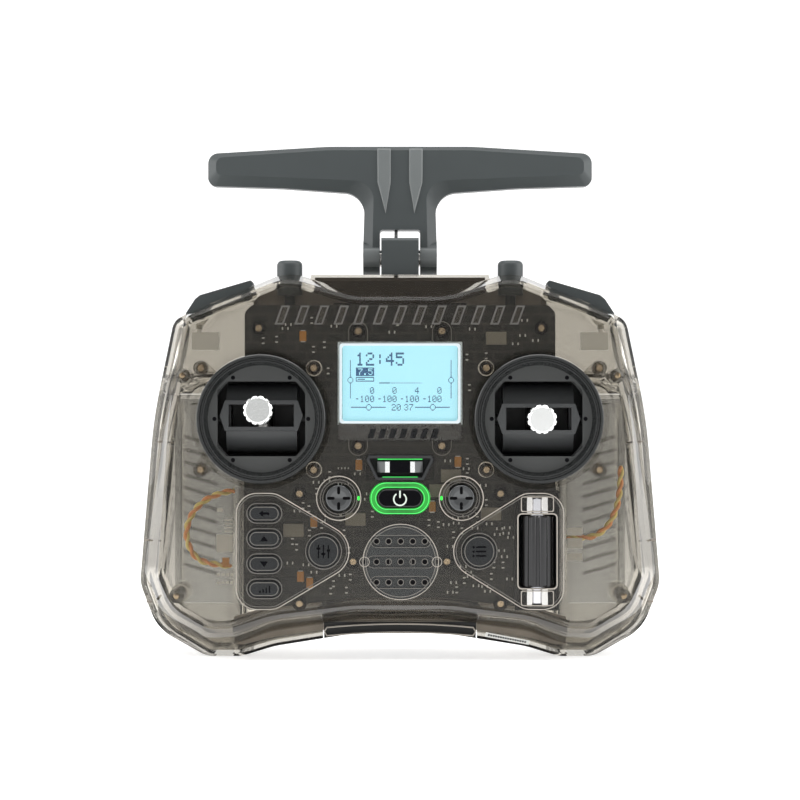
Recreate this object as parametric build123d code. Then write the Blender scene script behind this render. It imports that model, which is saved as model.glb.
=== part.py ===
"""Handheld radio transmitter controller, as an assembly of separate pieces.

Millimetres. +Z is up towards the antenna, -Y is the front face with the sticks, +X is the user's right.
The origin is the centre of the footprint under the two grip lobes.
"""

from build123d import *

import math
import os

# ---------------------------------------------------------------- driving dimensions
DEPTH = 65.1                 # stick tips to the back of the grips
FACE_Y = -15.5               # outer front face
PART_Y = 0.0                 # parting plane between the two shells
BACK_Y = 13.5                # flat upper back
GRIP_BACK_Y = DEPTH / 2      # back of the battery grips
STICK_TIP_Y = -DEPTH / 2
WALL = 1.8
FIT = 0.25                   # gap round a moving key or a lifted-off cover

GIMBAL_X, GIMBAL_Z = 41.1, 71.7
PIVOT_Y = -1.5               # both stick axes cross here
BEZEL_R, BEZEL_HOLE_R = 19.1, 19.3
GIMBAL_BACK_Y = 9.0
THROTTLE_REST = 5.0          # degrees the left stick rests above its middle

BOARD_FRONT, BOARD_BACK = -9.6, -8.0
LCD_Z, LENS_W, LENS_H = 79.9, 36.8, 29.4
SPEAKER_X, SPEAKER_Z, GRILLE_R = 0.2, 29.5, 11.2
TRIM_X, POWER_Z = 18.1, 48.3
KEY_X, KEY_Z, KEY_PITCH = -40.1, 43.8, 7.43
SYSTEM_X, MODEL_X, ROUND_KEY_Z = -22.6, 23.4, 32.6
ROLLER_X, ROLLER_Y, ROLLER_Z, ROLLER_R = 40.6, -11.6, 32.6, 5.2

HINGE_Y, HINGE_Z = 19.0, 120.9     # antenna fold axis
BRACKET_TOP = 126.7                # top of the hinge block
COAX_X, COAX_Y = -1.2, 11.0        # where the antenna's cable leaves the case
ANTENNA_TOP, ANTENNA_HALF = 155.2, 59.0
TOGGLE_X, TOGGLE_Y, TOGGLE_Z = 33.5, 7.0, 105.0
SHOULDER_PIVOT = (46.6, 109.0)     # x and z of the shoulder buttons' pins

CELL_X, CELL_Y = 59.2, 20.6        # where the battery cells lie when they are fitted
CELL_LOW, CELL_HIGH = 9.6, 74.6
DOOR_LOW, DOOR_HIGH, DOOR_SPLIT_Y = 14.0, 79.0, 20.6
BAY_HALF, BAY_LOW, BAY_HIGH, BAY_FLOOR_Y, BAY_MOUTH_Y = 21.6, 35.4, 81.1, 8.0, 26.0
PORT_HALF, PORT_TOP, PORT_BACK_Y = 22.9, 10.4, 10.9
DIAL_X, DIAL_Z = 36.0, 76.0

# Right half of each outline, clockwise from the top, as (x, z, corner radius).
FACE_EDGE = [(14, 107.8, 25), (33.5, 113.6, 14), (63.7, 101.8, 4), (68.4, 72, 150), (71.6, 25, 9),
             (67.4, 15.9, 12), (57, 9.6, 9), (50, 9.8, 12), (38, 13.6, 30), (14, 16.6, 60)]
PARTING = [(14, 109.6, 25), (33.5, 116.0, 14), (64.8, 103.2, 4), (71.8, 72, 150), (77.0, 25, 11),
           (72.2, 11.8, 14), (58, 3.8, 9), (49, 4.2, 12), (38, 8.3, 30), (14, 11.3, 60)]
WIDEST = [(14, 109.6, 25), (33.5, 116.0, 14), (68.2, 101.6, 5), (74.3, 72, 150), (78.5, 22, 11),
          (73.2, 8.2, 14), (58.3, 0, 8), (47.8, 0, 10), (38, 3.0, 30), (14, 6.8, 60)]
GRIP = [(47, 86, 9), (69.3, 86, 10), (76.6, 24, 12), (72.4, 8.6, 12), (58.3, 0, 6), (47, 0, 4)]


# ---------------------------------------------------------------- helpers
def front_plane(y):
    """A plane at depth y whose sketches read as (x, z) and face the front."""
    return Plane(origin=(0, y, 0), x_dir=(1, 0, 0), z_dir=(0, -1, 0))


def slab(sketch, front, back):
    """A front-view sketch made solid between two depths."""
    return extrude(front_plane(back) * sketch, amount=back - front)


def block(x0, x1, y0, y1, z0, z1):
    return Pos((x0 + x1) / 2, (y0 + y1) / 2, (z0 + z1) / 2) * Box(x1 - x0, y1 - y0, z1 - z0)


def disc(x, z, radius, front, back):
    return slab(Pos(x, z) * Circle(radius), front, back)


def rod_x(x0, x1, y, z, radius):
    return Pos((x0 + x1) / 2, y, z) * Rot(0, 90, 0) * Cylinder(radius, x1 - x0)


def rod_z(x, y, z0, z1, radius):
    return Pos(x, y, (z0 + z1) / 2) * Cylinder(radius, z1 - z0)


def flip(shape):
    """The same piece on the other side of the transmitter."""
    return mirror(shape, about=Plane.YZ)


def both_sides(shape):
    return [shape, flip(shape)]


def whole(half):
    return half + [(-x, z, r) for x, z, r in reversed(half)]


def inset(points, amount):
    """Moves every side of a clockwise outline inwards and keeps its arcs concentric."""
    moved = []
    for i, (x, z, radius) in enumerate(points):
        ax, az, _ = points[i - 1]
        bx, bz, _ = points[(i + 1) % len(points)]
        first, second = math.hypot(x - ax, z - az), math.hypot(bx - x, bz - z)
        n1 = ((z - az) / first, -(x - ax) / first)
        n2 = ((bz - z) / second, -(bx - x) / second)
        share = amount / (1 + n1[0] * n2[0] + n1[1] * n2[1])
        convex = n1[0] * n2[1] - n1[1] * n2[0] < 0
        radius = max(radius - amount, 0.6) if convex else radius + amount
        moved.append((x + share * (n1[0] + n2[0]), z + share * (n1[1] + n2[1]), radius))
    return moved


def outline_face(points, y, amount=0.0):
    moved = inset(points, amount)
    wire = FilletPolyline(*[(x, z) for x, z, _ in moved], radius=[r for _, _, r in moved], close=True)
    return front_plane(y) * make_face(wire)


def skin(sections, ruled=True):
    """A solid through outlines given as (points, depth, inset)."""
    return loft([outline_face(*section) for section in sections], ruled=ruled)


def hull_of(circles):
    return make_hull([(Pos(x, z) * Circle(r)).edges()[0] for x, z, r in circles])


def tube(points, radii, radius):
    """A round wire or cable along straight runs joined by tangent arcs."""
    path = FilletPolyline(*points, radius=radii)
    start = Plane(origin=path @ 0, z_dir=path % 0)
    return sweep(start * Circle(radius), path=path)


def save(name, *shapes):
    solids = [solid for shape in shapes for solid in shape.solids()]
    export_step(solids[0] if len(solids) == 1 else Compound(solids), f"parts/{name}.step")


# ---------------------------------------------------------------- shared places
BOARD_SCREWS = [(12.4, 97.7), (12.4, 63.7), (41.9, 98.6), (29.8, 49.5), (29.8, 16.9), (13.9, 29.4)]
GIMBAL_SCREWS = [(25.6, 86.8), (25.6, 56.6), (59.1, 86.8), (59.1, 56.6)]
CASE_POSTS = [(64.4, 84.5), (66.2, 19.2)]
CASE_POST_BACK = 12.6        # the lower posts end under the battery trays
SCREW_R, SCREW_HEAD_R, BORE_R, BOSS_R = 0.9, 1.8, 1.0, 2.1

KEY_SHAPE = SlotOverall(9.4, 4.8)
ROUND_KEY = Circle(4.8)
POWER_SHAPE = SlotOverall(13.3, 5.4)
KEY_FRONT, KEY_FLANGE, KEY_BACK = FACE_Y - 0.8, FACE_Y + WALL + 0.2, -12.4
OVAL_KEYS = ["return_key", "page_next_key", "page_back_key", "telemetry_key"]
PAD_LEFT = [(-42.3, 43.7, 5.9), (-38.4, 43.7, 5.9), (-22.6, 32.6, 7.4), (-38.4, 21.5, 5.9),
            (-42.3, 21.5, 5.9)]
PAD_RIGHT = [(42.3, 43.7, 5.9), (38.4, 43.7, 5.9), (23.4, 32.6, 7.4), (38.4, 21.5, 5.9), (42.3, 21.5, 5.9)]
STRAP_CUP = [(9.3, 60.9), (9.9, 59.6), (7.0, 53.6), (-7.0, 53.6), (-9.9, 59.6), (-9.3, 60.9)]


def oval_key_places():
    return [(KEY_X, KEY_Z - KEY_PITCH * i) for i in range(4)]


# ---------------------------------------------------------------- front shell
def front_shell():
    """The clear front case, with the bosses that its screws are driven into from behind."""
    outer = skin([(whole(FACE_EDGE), FACE_Y, 1.1), (whole(FACE_EDGE), FACE_Y + 0.7, 0),
                  (whole(PARTING), PART_Y, 0)])
    inner = skin([(whole(FACE_EDGE), FACE_Y + WALL, WALL + 0.4), (whole(PARTING), PART_Y + 0.01, WALL)])
    inside, through = FACE_Y + WALL - 0.2, FACE_Y + WALL + 0.3
    bosses, cuts = [], []
    for s in (1, -1):
        bosses += [disc(s * x, z, BOSS_R, inside, BOARD_FRONT) for x, z in BOARD_SCREWS]
        bosses += [disc(s * x, z, BOSS_R, inside, -7.6) for x, z in GIMBAL_SCREWS]
        bosses += [disc(s * x, z, 2.3, inside, PART_Y - 0.1) for x, z in CASE_POSTS]
        ridge = Pos(s * TRIM_X, POWER_Z) * (Circle(6.9) - Circle(6.1))
        bosses.append(slab(ridge, FACE_Y - 0.35, FACE_Y + 0.1))
        posts = BOARD_SCREWS + GIMBAL_SCREWS + CASE_POSTS
        cuts += [disc(s * x, z, BORE_R, inside + 0.8, 1) for x, z in posts]
        cuts.append(disc(s * GIMBAL_X, GIMBAL_Z, BEZEL_HOLE_R, FACE_Y - 1, -7.8))
        cuts.append(Pos(s * GIMBAL_X, FACE_Y + 0.6, GIMBAL_Z) * Rot(90, 0, 0) * Cone(BEZEL_HOLE_R, 20.8, 1.3))
        cuts.append(disc(s * TRIM_X, POWER_Z, 5.6, FACE_Y - 0.5, FACE_Y + 0.6))
        cuts.append(disc(s * TRIM_X, POWER_Z, 4.4, FACE_Y - 1, through))
    lens_seat = Pos(0, LCD_Z) * RectangleRounded(LENS_W + 0.2, LENS_H + 0.2, 1.2)
    cuts.append(slab(lens_seat, FACE_Y - 1, FACE_Y + 1.2))
    cuts.append(slab(Pos(0, 82.2) * RectangleRounded(34.0, 22.6, 0.8), FACE_Y - 1, through))
    cuts += [slab(hull_of(pad), FACE_Y - 1, FACE_Y + 0.5) for pad in (PAD_LEFT, PAD_RIGHT)]
    slot = SlotOverall(9.4 + 2 * FIT, 4.8 + 2 * FIT)
    cuts += [slab(Pos(x, z) * slot, FACE_Y - 1, through) for x, z in oval_key_places()]
    cuts += [disc(x, ROUND_KEY_Z, 4.8 + FIT, FACE_Y - 1, through) for x in (SYSTEM_X, MODEL_X)]
    cuts.append(slab(Pos(0, POWER_Z) * SlotOverall(18.2, 9.7), FACE_Y - 1, through))
    cuts.append(disc(SPEAKER_X, SPEAKER_Z, GRILLE_R + 0.1, FACE_Y - 1, FACE_Y + 1.0))
    cuts.append(disc(SPEAKER_X, SPEAKER_Z, GRILLE_R - 1.2, FACE_Y - 1, through))
    cuts.append(slab(Pos(ROLLER_X, ROLLER_Z) * RectangleRounded(11.4, 21.9, 1.2), FACE_Y - 1, through))
    cuts.append(slab(Pos(ROLLER_X, ROLLER_Z) * Rectangle(6.6, 32.0), FACE_Y - 1, through))
    cup = make_face(Polyline(*STRAP_CUP, close=True))
    cuts.append(slab(offset(cup, 0.1, kind=Kind.INTERSECTION), FACE_Y - 1, through))
    return (outer - inner + bosses) - cuts


def speaker_grille():
    plate = disc(SPEAKER_X, SPEAKER_Z, GRILLE_R, FACE_Y - 0.1, FACE_Y + 1.0)
    pitch, row_pitch = 3.56, 6.05
    for row, holes in ((1, 5), (0, 5), (-1, 5)):
        z = SPEAKER_Z + row * row_pitch
        width = 17.6 if row else 19.6
        plate -= slab(Pos(SPEAKER_X, z) * SlotOverall(width, 3.4), FACE_Y - 1, FACE_Y + 0.35)
        for i in range(holes):
            x = SPEAKER_X + (i - (holes - 1) / 2) * pitch
            plate -= disc(x, z, 0.75, FACE_Y - 1, FACE_Y + 2)
    return plate


def strap_cup():
    """The black cup that the neck strap's hook reaches into."""
    cup = make_face(Polyline(*STRAP_CUP, close=True))
    hollow = offset(cup, -0.8, kind=Kind.INTERSECTION)
    return slab(cup, FACE_Y - 0.2, -8.6) - slab(hollow, FACE_Y - 1, -9.4)


def strap_bar():
    """A flat metal arch from one wall of the cup to the other."""
    outer, inner = 14.0, 12.8
    centre_y = FACE_Y - 0.5 + outer
    arch = Pos(0, centre_y, 57.5) * (Cylinder(outer, 3.2) - Cylinder(inner, 4))
    return arch & block(-6.7, 6.7, FACE_Y - 2, -9.6, 55, 60)


# ---------------------------------------------------------------- rear shell, covers and grips
def core_outer():
    return skin([(whole(PARTING), PART_Y, 0), (whole(WIDEST), 2.2, 0), (whole(WIDEST), 8.0, 0.4),
                 (whole(WIDEST), 11.5, 2.4), (whole(WIDEST), BACK_Y, 6.5)])


def core_inner():
    return skin([(whole(PARTING), PART_Y - 0.01, WALL), (whole(WIDEST), 2.6, WALL),
                 (whole(WIDEST), 8.0, WALL + 0.4), (whole(WIDEST), BACK_Y - WALL, WALL + 3.2)])


def grip_outer():
    return skin([(GRIP, 6.0, 0), (GRIP, 21.0, 0), (GRIP, 27.0, 1.8), (GRIP, 30.8, 4.2),
                 (GRIP, GRIP_BACK_Y, 7.5)])


def grip_inner(gap=0.0):
    wall = WALL + gap
    return skin([(GRIP, 3.0, wall), (GRIP, 21.0, wall), (GRIP, 26.6, wall + 1.6),
                 (GRIP, GRIP_BACK_Y - wall, wall + 5.0)])


def grip_door_region(gap=0.0):
    return block(49, 90, DOOR_SPLIT_Y - gap, 40, DOOR_LOW - gap, DOOR_HIGH + gap)


def rear_shell():
    grips_out, grips_in = both_sides(grip_outer()), both_sides(grip_inner())
    shell = core_outer()
    platform = make_face(Polyline((-29, 104), (29, 104), (26.9, 115.2), (-26.9, 115.2), close=True))
    shell += slab(platform, 4.5, 14.2)
    for grip in grips_out:
        shell += grip
    shell -= core_inner()
    shell -= slab(offset(platform, -WALL, kind=Kind.INTERSECTION), 6.3, 12.4)
    for grip in grips_in:
        shell -= grip
    bay = RectangleRounded(2 * BAY_HALF + 3.2, BAY_HIGH - BAY_LOW + 3.2, 3)
    bay_z = (BAY_LOW + BAY_HIGH) / 2
    shell += slab(Pos(0, bay_z) * bay, BAY_FLOOR_Y - 1.6, BAY_MOUTH_Y)
    bay_hollow = RectangleRounded(2 * BAY_HALF, BAY_HIGH - BAY_LOW, 1.6)
    shell -= slab(Pos(0, bay_z) * bay_hollow, BAY_FLOOR_Y, BAY_MOUTH_Y + 1)
    for door in both_sides(grip_door_region(FIT)):
        shell -= door
    shell -= block(-PORT_HALF - 0.3, PORT_HALF + 0.3, -1, PORT_BACK_Y + 0.3, -1, PORT_TOP + 0.3)
    shell += block(-24.5, 24.5, 0.4, 12.4, PORT_TOP + 0.3, PORT_TOP + 1.7) & core_outer()
    for x, width, depth in PORTS:
        shell -= block(x - width / 2 - 0.1, x + width / 2 + 0.1, PORT_Y - depth / 2 - 0.1,
                       PORT_Y + depth / 2 + 0.1, 9, 13)
    for x, z in CASE_POSTS:
        upper = z > 50
        across = block(x, 71.6, 2.2, 3.6, z - 0.6, z + 0.6)
        rib = across if upper else block(x - 0.6, x + 0.6, 2.2, 3.6, 5.4, z)
        back = GRIP_BACK_Y if upper else CASE_POST_BACK
        post = (disc(x, z, 2.8, PART_Y, back) & (core_outer() + grips_out[0])) + rib
        well = disc(x, z, BORE_R, -1, back) + disc(x, z, 2.0, 3.0, back + 1)
        shell = (shell + both_sides(post)) - both_sides(well)
    pivot_x, pivot_z = SHOULDER_PIVOT
    for s in (1, -1):
        slot = Rot(0, 0, 90) * SlotOverall(13.0, 8.7)
        shell += shoulder_pocket(s, 1.3) & core_outer()
        shell -= extrude(Pos(s * TOGGLE_X, TOGGLE_Y + 0.1, 104) * slot, amount=14)
        shell -= shoulder_pocket(s)
        shell -= disc(s * pivot_x, pivot_z, 0.85, 0.8, 13.2)
        shell -= rod_z(s * 61.0, 7.0, 97, 101, 1.1)
    shell -= disc(-DIAL_X, DIAL_Z, 1.8, BACK_Y - 4, BACK_Y + 1)
    shell -= disc(DIAL_X, DIAL_Z, 4.3, BACK_Y - 4, BACK_Y + 1)
    shell -= rod_z(COAX_X, COAX_Y, 110, 117, 0.8)
    return max(shell.solids(), key=lambda solid: solid.volume)


def grip_door():
    door = (grip_outer() - grip_inner()) & grip_door_region()
    pull = slab(Pos(61, 74.5) * SlotOverall(9, 3.2), 29.5, 34)
    door -= pull & block(50, 72, 31.6, 34, 70, 79)
    return max(door.solids(), key=lambda solid: solid.volume)


def module_cover():
    z = (BAY_LOW + BAY_HIGH) / 2
    mouth = Pos(0, z) * RectangleRounded(2 * BAY_HALF - 0.4, BAY_HIGH - BAY_LOW - 0.4, 1.4)
    plug = slab(mouth, 24.2, BAY_MOUTH_Y)
    cap = slab(Pos(0, z) * RectangleRounded(46.4, 48.9, 3), BAY_MOUTH_Y, BAY_MOUTH_Y + 1.6)
    cap = chamfer(cap.faces().sort_by(Axis.Y)[-1].edges(), 0.7)
    cover = plug + cap
    for i in range(7):
        cover -= slab(Pos(0, z - 9 + 3 * i) * SlotOverall(26, 1.2), BAY_MOUTH_Y + 1.0, BAY_MOUTH_Y + 3)
    return cover


def port_cover():
    body = core_outer() & block(-PORT_HALF, PORT_HALF, 0.4, PORT_BACK_Y, 0, PORT_TOP)
    return max(body.solids(), key=lambda solid: solid.volume)


PORT_Y = 6.2
PORTS = [(0.0, 9.0, 3.2), (13.0, 6.0, 6.0), (-13.0, 12.0, 2.0)]    # x, width, depth: charge, audio, card


def bottom_ports():
    charge = extrude(Pos(0, PORT_Y, PORT_TOP + 0.4) * SlotOverall(9.0, 3.2), amount=7)
    charge -= extrude(Pos(0, PORT_Y, PORT_TOP + 0.3) * SlotOverall(8.3, 2.5), amount=5.5)
    charge += block(-3.3, 3.3, PORT_Y - 0.35, PORT_Y + 0.35, PORT_TOP + 1.2, PORT_TOP + 7)
    audio = rod_z(13.0, PORT_Y, PORT_TOP + 0.4, PORT_TOP + 11, 3.0)
    audio -= rod_z(13.0, PORT_Y, 9, PORT_TOP + 9, 1.8)
    card = block(-19, -7, PORT_Y - 1.0, PORT_Y + 1.0, PORT_TOP + 0.4, PORT_TOP + 14)
    card -= block(-18.5, -7.5, PORT_Y - 0.45, PORT_Y + 0.45, PORT_TOP, PORT_TOP + 12)
    return [charge, audio, card]


# ---------------------------------------------------------------- screen, boards and sound
def lcd_lens():
    lens = slab(Pos(0, LCD_Z) * RectangleRounded(LENS_W, LENS_H, 1.1), FACE_Y - 0.3, FACE_Y + 1.2)
    return chamfer(lens.faces().sort_by(Axis.Y)[0].edges(), 0.35)


def lcd_panel():
    return block(-17.3, 17.3, -12.9, -11.3, 70.9, 93.5)


def lcd_frame():
    return block(-18.4, 18.4, -13.3, -9.7, 69.9, 94.5) - block(-17.4, 17.4, -14, -11.2, 70.8, 93.6) \
        - block(-16, 16, -14, -9, 72.3, 92.1)


def main_board():
    half = [(44.0, 105.6, 2), (46.2, 103.4, 2), (46.2, 15.0, 2), (40.0, 14.8, 3), (27.0, 16.6, 10),
            (14, 18.1, 20)]
    board = slab(make_face(FilletPolyline(*[(x, z) for x, z, _ in whole(half)],
                                          radius=[r for _, _, r in whole(half)], close=True)),
                 BOARD_FRONT, BOARD_BACK)
    for s in (1, -1):
        board -= disc(s * GIMBAL_X, GIMBAL_Z, 19.0, -12, -5)
        for x, z in BOARD_SCREWS:
            board -= disc(s * x, z, 1.1, -12, -5)
        for x, z in GIMBAL_SCREWS:
            board -= disc(s * x, z, 2.4, -12, -5)
    board -= disc(SPEAKER_X, SPEAKER_Z, 11.0, -12, -5)
    board -= block(ROLLER_X - 6.5, 50, -12, -5, 10, ROLLER_Z + 17.6)
    board -= block(-10.2, 10.2, -12, -5, 53.3, 61.2)
    return max(board.solids(), key=lambda solid: solid.volume)


def board_parts():
    """Tactile switches under each key, and the larger packages and connectors on the board."""
    tact_front, tact_half = -11.5, 1.9
    places = oval_key_places() + [(SYSTEM_X, ROUND_KEY_Z), (MODEL_X, ROUND_KEY_Z)]
    places += [(-4.0, POWER_Z), (4.0, POWER_Z)]
    parts = []
    for x, z in places:
        tact = Pos(x, z) * Rectangle(2 * tact_half, 2 * tact_half)
        base = slab(tact, BOARD_FRONT - 1.2, BOARD_FRONT)
        parts.append(base + disc(x, z, 1.0, tact_front, BOARD_FRONT - 1.1))
    for x, z, w, h, t in ((-31.5, 22.2, 5, 5, 1.2), (20, 19.9, 4, 3, 1.6), (-20, 41.5, 4, 6, 1.0),
                          (27.5, 43.0, 6, 4, 1.2), (-6, 102.5, 8, 5, 1.4), (12.5, 104.0, 5, 4, 1.2)):
        parts.append(block(x - w / 2, x + w / 2, BOARD_FRONT - t, BOARD_FRONT, z - h / 2, z + h / 2))
    for x, z, w, h in ((-4.5, 96, 12, 14), (-6, 46, 18, 10), (4, 21, 12, 4)):
        parts.append(block(x - w / 2, x + w / 2, BOARD_BACK, BOARD_BACK + 3.0, z - h / 2, z + h / 2))
    return parts


def radio_board():
    """The radio-frequency board with its metal can, behind the top of the main board."""
    return block(-20, 20, -2.0, -0.8, 87, 106.4) + block(-12, 8, -4.4, -2.0, 90, 104)


def speaker_driver():
    basket = disc(SPEAKER_X, SPEAKER_Z, 10.7, -13.2, -8.4) - disc(SPEAKER_X, SPEAKER_Z, 9.4, -14, -10.4)
    cone = Pos(SPEAKER_X, -11.4, SPEAKER_Z) * Rot(90, 0, 0) * Cone(4.0, 9.3, 2.0)
    dome = disc(SPEAKER_X, SPEAKER_Z, 3.2, -12.7, -10.4)
    magnet = disc(SPEAKER_X, SPEAKER_Z, 6.5, -8.5, -5.2)
    return basket + cone + dome + magnet


def screw(x, z, head_y, tip_y):
    """A pan-head screw driven from the back, with a cross recess."""
    made = disc(x, z, SCREW_HEAD_R, head_y, head_y + 1.3) + disc(x, z, SCREW_R, tip_y, head_y)
    cross = Pos(x, z) * (Rectangle(2.2, 0.5) + Rectangle(0.5, 2.2))
    return made - slab(cross, head_y + 0.6, head_y + 2)


def screws():
    made = []
    for s in (1, -1):
        made += [screw(s * x, z, BOARD_BACK, -13.0) for x, z in BOARD_SCREWS]
        made += [screw(s * x, z, -6.0, -13.0) for x, z in GIMBAL_SCREWS]
        made += [screw(s * x, z, 3.0, -9.0) for x, z in CASE_POSTS]
    return made


# ---------------------------------------------------------------- keys
def key(x, z, shape, flange):
    cap = slab(Pos(x, z) * shape, KEY_FRONT, KEY_FLANGE)
    cap = fillet(cap.faces().sort_by(Axis.Y)[0].edges(), 0.5)
    return cap + slab(Pos(x, z) * flange, KEY_FLANGE, KEY_BACK)


def power_light_ring():
    ring = slab(Pos(0, POWER_Z) * SlotOverall(18.0, 9.5), FACE_Y - 0.4, -12.8)
    ring = fillet(ring.faces().sort_by(Axis.Y)[0].edges(), 0.3)
    return ring - slab(Pos(0, POWER_Z) * SlotOverall(13.8, 5.9), FACE_Y - 2, -10)


def trim_pad(x):
    pad = disc(x, POWER_Z, 3.9, FACE_Y - 0.7, -13.4)
    pad = fillet(pad.faces().sort_by(Axis.Y)[0].edges(), 0.5)
    pad -= Pos(x, FACE_Y - 6.2, POWER_Z) * Sphere(6.0)
    for i in range(4):
        slot = Rot(0, 0, 90 * i) * Pos(2.3, 0) * SlotOverall(2.3, 0.9)
        pad -= slab(Pos(x, POWER_Z) * slot, FACE_Y - 2, FACE_Y + 0.3)
    return pad + disc(x, POWER_Z, 1.2, -13.4, -12.9)


def trim_carrier(x):
    ring = disc(x, POWER_Z, 3.4, -12.75, -12.0) + disc(x, POWER_Z, 1.1, -12.0, -11.0)
    return ring


def roller():
    body = rod_z(ROLLER_X, ROLLER_Y, ROLLER_Z - 10.55, ROLLER_Z + 10.55, ROLLER_R)
    body = chamfer(body.edges().filter_by(GeomType.CIRCLE), 0.5)
    flutes = 14
    for i in range(flutes):
        turn = 2 * math.pi * i / flutes
        x, y = ROLLER_X + 5.75 * math.cos(turn), ROLLER_Y + 5.75 * math.sin(turn)
        body -= rod_z(x, y, ROLLER_Z - 11, ROLLER_Z + 11, 0.95)
    body += rod_z(ROLLER_X, ROLLER_Y, ROLLER_Z - 15.4, ROLLER_Z + 15.4, 2.9)
    return body + rod_z(ROLLER_X, ROLLER_Y, ROLLER_Z - 16.5, ROLLER_Z + 16.5, 1.4)


def roller_carriage():
    """The sprung cradle that carries the roller, so that it can be pressed as well as turned."""
    x = ROLLER_X
    cradle = block(x - 5, x + 5, -5.8, -4.8, ROLLER_Z - 16.6, ROLLER_Z + 16.6)
    for end in (-1, 1):
        z = ROLLER_Z + end * 16.1
        cradle += block(x - 2.4, x + 2.4, -13.4, -4.8, z - 0.5, z + 0.5)
    return cradle - rod_z(x, ROLLER_Y, ROLLER_Z - 18, ROLLER_Z + 18, 1.45)


# ---------------------------------------------------------------- stick gimbals
def gimbal_bezel(x):
    """The black trim ring: a raised rim, a groove, an inner rim and a dish down to the housing's plate."""
    front, back = FACE_Y - 0.6, -12.4
    profile = [(BEZEL_R, back), (BEZEL_R, front + 0.3), (BEZEL_R - 0.3, front), (18.2, front),
               (17.9, front + 0.6), (17.5, front + 0.6), (17.3, front + 0.2), (16.9, front + 0.2), (15.9, back)]
    section = Plane.XY * make_face(Polyline(*profile, close=True))
    return Pos(x, 0, GIMBAL_Z) * revolve(section, Axis.Y)


def cropped_square(size, corner):
    square = Rectangle(size, size)
    return chamfer(square.vertices(), corner)


def gimbal_frame(x):
    """The square housing that carries both stick axes, with a round plate at the front."""
    opening = Pos(x, GIMBAL_Z) * Rectangle(26.0, 22.2)
    opening = chamfer(opening.vertices(), 2.6)
    frame = disc(x, GIMBAL_Z, 18.4, -12.4, -7.6)
    frame += slab(Pos(x, GIMBAL_Z) * cropped_square(33.0, 7.0), -7.6, GIMBAL_BACK_Y)
    sign = 1 if x > 0 else -1
    for px, pz in GIMBAL_SCREWS:
        inner_x, inner_z = sign * px * 0.8 + x * 0.2, pz * 0.7 + GIMBAL_Z * 0.3
        frame += slab(hull_of([(sign * px, pz, 2.3), (inner_x, inner_z, 3.0)]), -7.6, -6.0)
    frame -= disc(x, GIMBAL_Z, 14.9, -11.0, 0)
    frame -= slab(Pos(x, GIMBAL_Z) * cropped_square(29.8, 7.0), -7.0, GIMBAL_BACK_Y - 1.0)
    frame -= slab(opening, -14, -10)
    frame -= rod_x(x - 20, x + 20, PIVOT_Y, GIMBAL_Z, 1.55)
    frame -= rod_z(x, PIVOT_Y, GIMBAL_Z - 20, GIMBAL_Z + 20, 1.55)
    for px, pz in GIMBAL_SCREWS:
        frame -= disc(sign * px, pz, 1.0, -9, -5)
    return max(frame.solids(), key=lambda solid: solid.volume)


def drum():
    """The slotted barrel that swings up and down, about the origin, with the slot facing -Y."""
    radius, thick, half = 10.6, 1.2, 10.5
    barrel = rod_x(-half, half, 0, 0, radius) - rod_x(-half + 1.2, half - 1.2, 0, 0, radius - thick)
    barrel &= block(-half - 1, half + 1, -radius - 1, 0, -radius - 1, radius + 1)
    plate = make_face(Polyline((-12.3, 0), (-10.8, 4.5), (10.8, 4.5), (12.3, 0), (10.8, -4.5), (-10.8, -4.5),
                               close=True))
    barrel += slab(plate, -radius - 0.9, -radius + 0.9)
    barrel += rod_x(-half - 0.1, -half + 1.2, 0, 0, 4) + rod_x(half - 1.2, half + 0.1, 0, 0, 4)
    barrel += rod_x(-16.3, -half, 0, 0, 1.5) + rod_x(half, 16.3, 0, 0, 1.5)
    for s in (1, -1):
        barrel += block(-half, half, -1.9, 1.9, min(s * 4.5, s * 6.2), max(s * 4.5, s * 6.2))
    barrel -= block(-9.7, 9.7, -14, -6, -3.35, 3.35)
    return barrel - rod_z(0, 0, -7, 7, 1.05)


def stick():
    """The stick's shaft, from its stub behind the cross axes to its threaded end."""
    made = rod_z(0, 0, -4.3, 4.3, 3.1) + rod_z(0, 0, -6.1, 6.1, 1.0)
    made += disc(0, 0, 2.2, -17.0, 0) + disc(0, 0, 1.5, STICK_TIP_Y - PIVOT_Y + 2.0, -17.0)
    return made + disc(0, 0, 1.2, 0, 9.0)


def stick_end():
    """The round serrated end, which screws onto the shaft."""
    tip = STICK_TIP_Y - PIVOT_Y
    body = disc(0, 0, 3.5, tip + 2.2, tip + 11.2)
    crown = disc(0, 0, 4.2, tip, tip + 3.2)
    crown = chamfer(crown.faces().sort_by(Axis.Y)[0].edges(), 0.7)
    teeth = 12
    for i in range(teeth):
        turn = 2 * math.pi * i / teeth
        crown -= disc(4.45 * math.cos(turn), 4.45 * math.sin(turn), 0.6, tip - 1, tip + 5)
        body -= disc(3.75 * math.cos(turn), 3.75 * math.sin(turn), 0.45, tip + 4.4, tip + 9.8)
    return crown + body - disc(0, 0, 1.55, tip + 1.4, tip + 12)


def bail():
    """The arch behind the barrel that follows the stick from side to side."""
    made = block(-3.4, 3.4, 7.2, 8.4, -13.9, 13.9)
    for s in (1, -1):
        low, high = sorted((s * 12.8, s * 13.9))
        made += block(-3.4, 3.4, -2.2, 8.4, low, high)
        low, high = sorted((s * 13.8, s * 16.3))
        made += rod_z(0, 0, low, high, 1.5)
    return made - block(-1.9, 1.9, 7, 9, -6.8, 6.8)


def at_gimbal(shape, x, tilt=0.0):
    """Carries a piece from the crossing of the stick axes at the origin to its gimbal."""
    return Pos(x, PIVOT_Y, GIMBAL_Z) * Rot(-tilt, 0, 0) * shape


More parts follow.
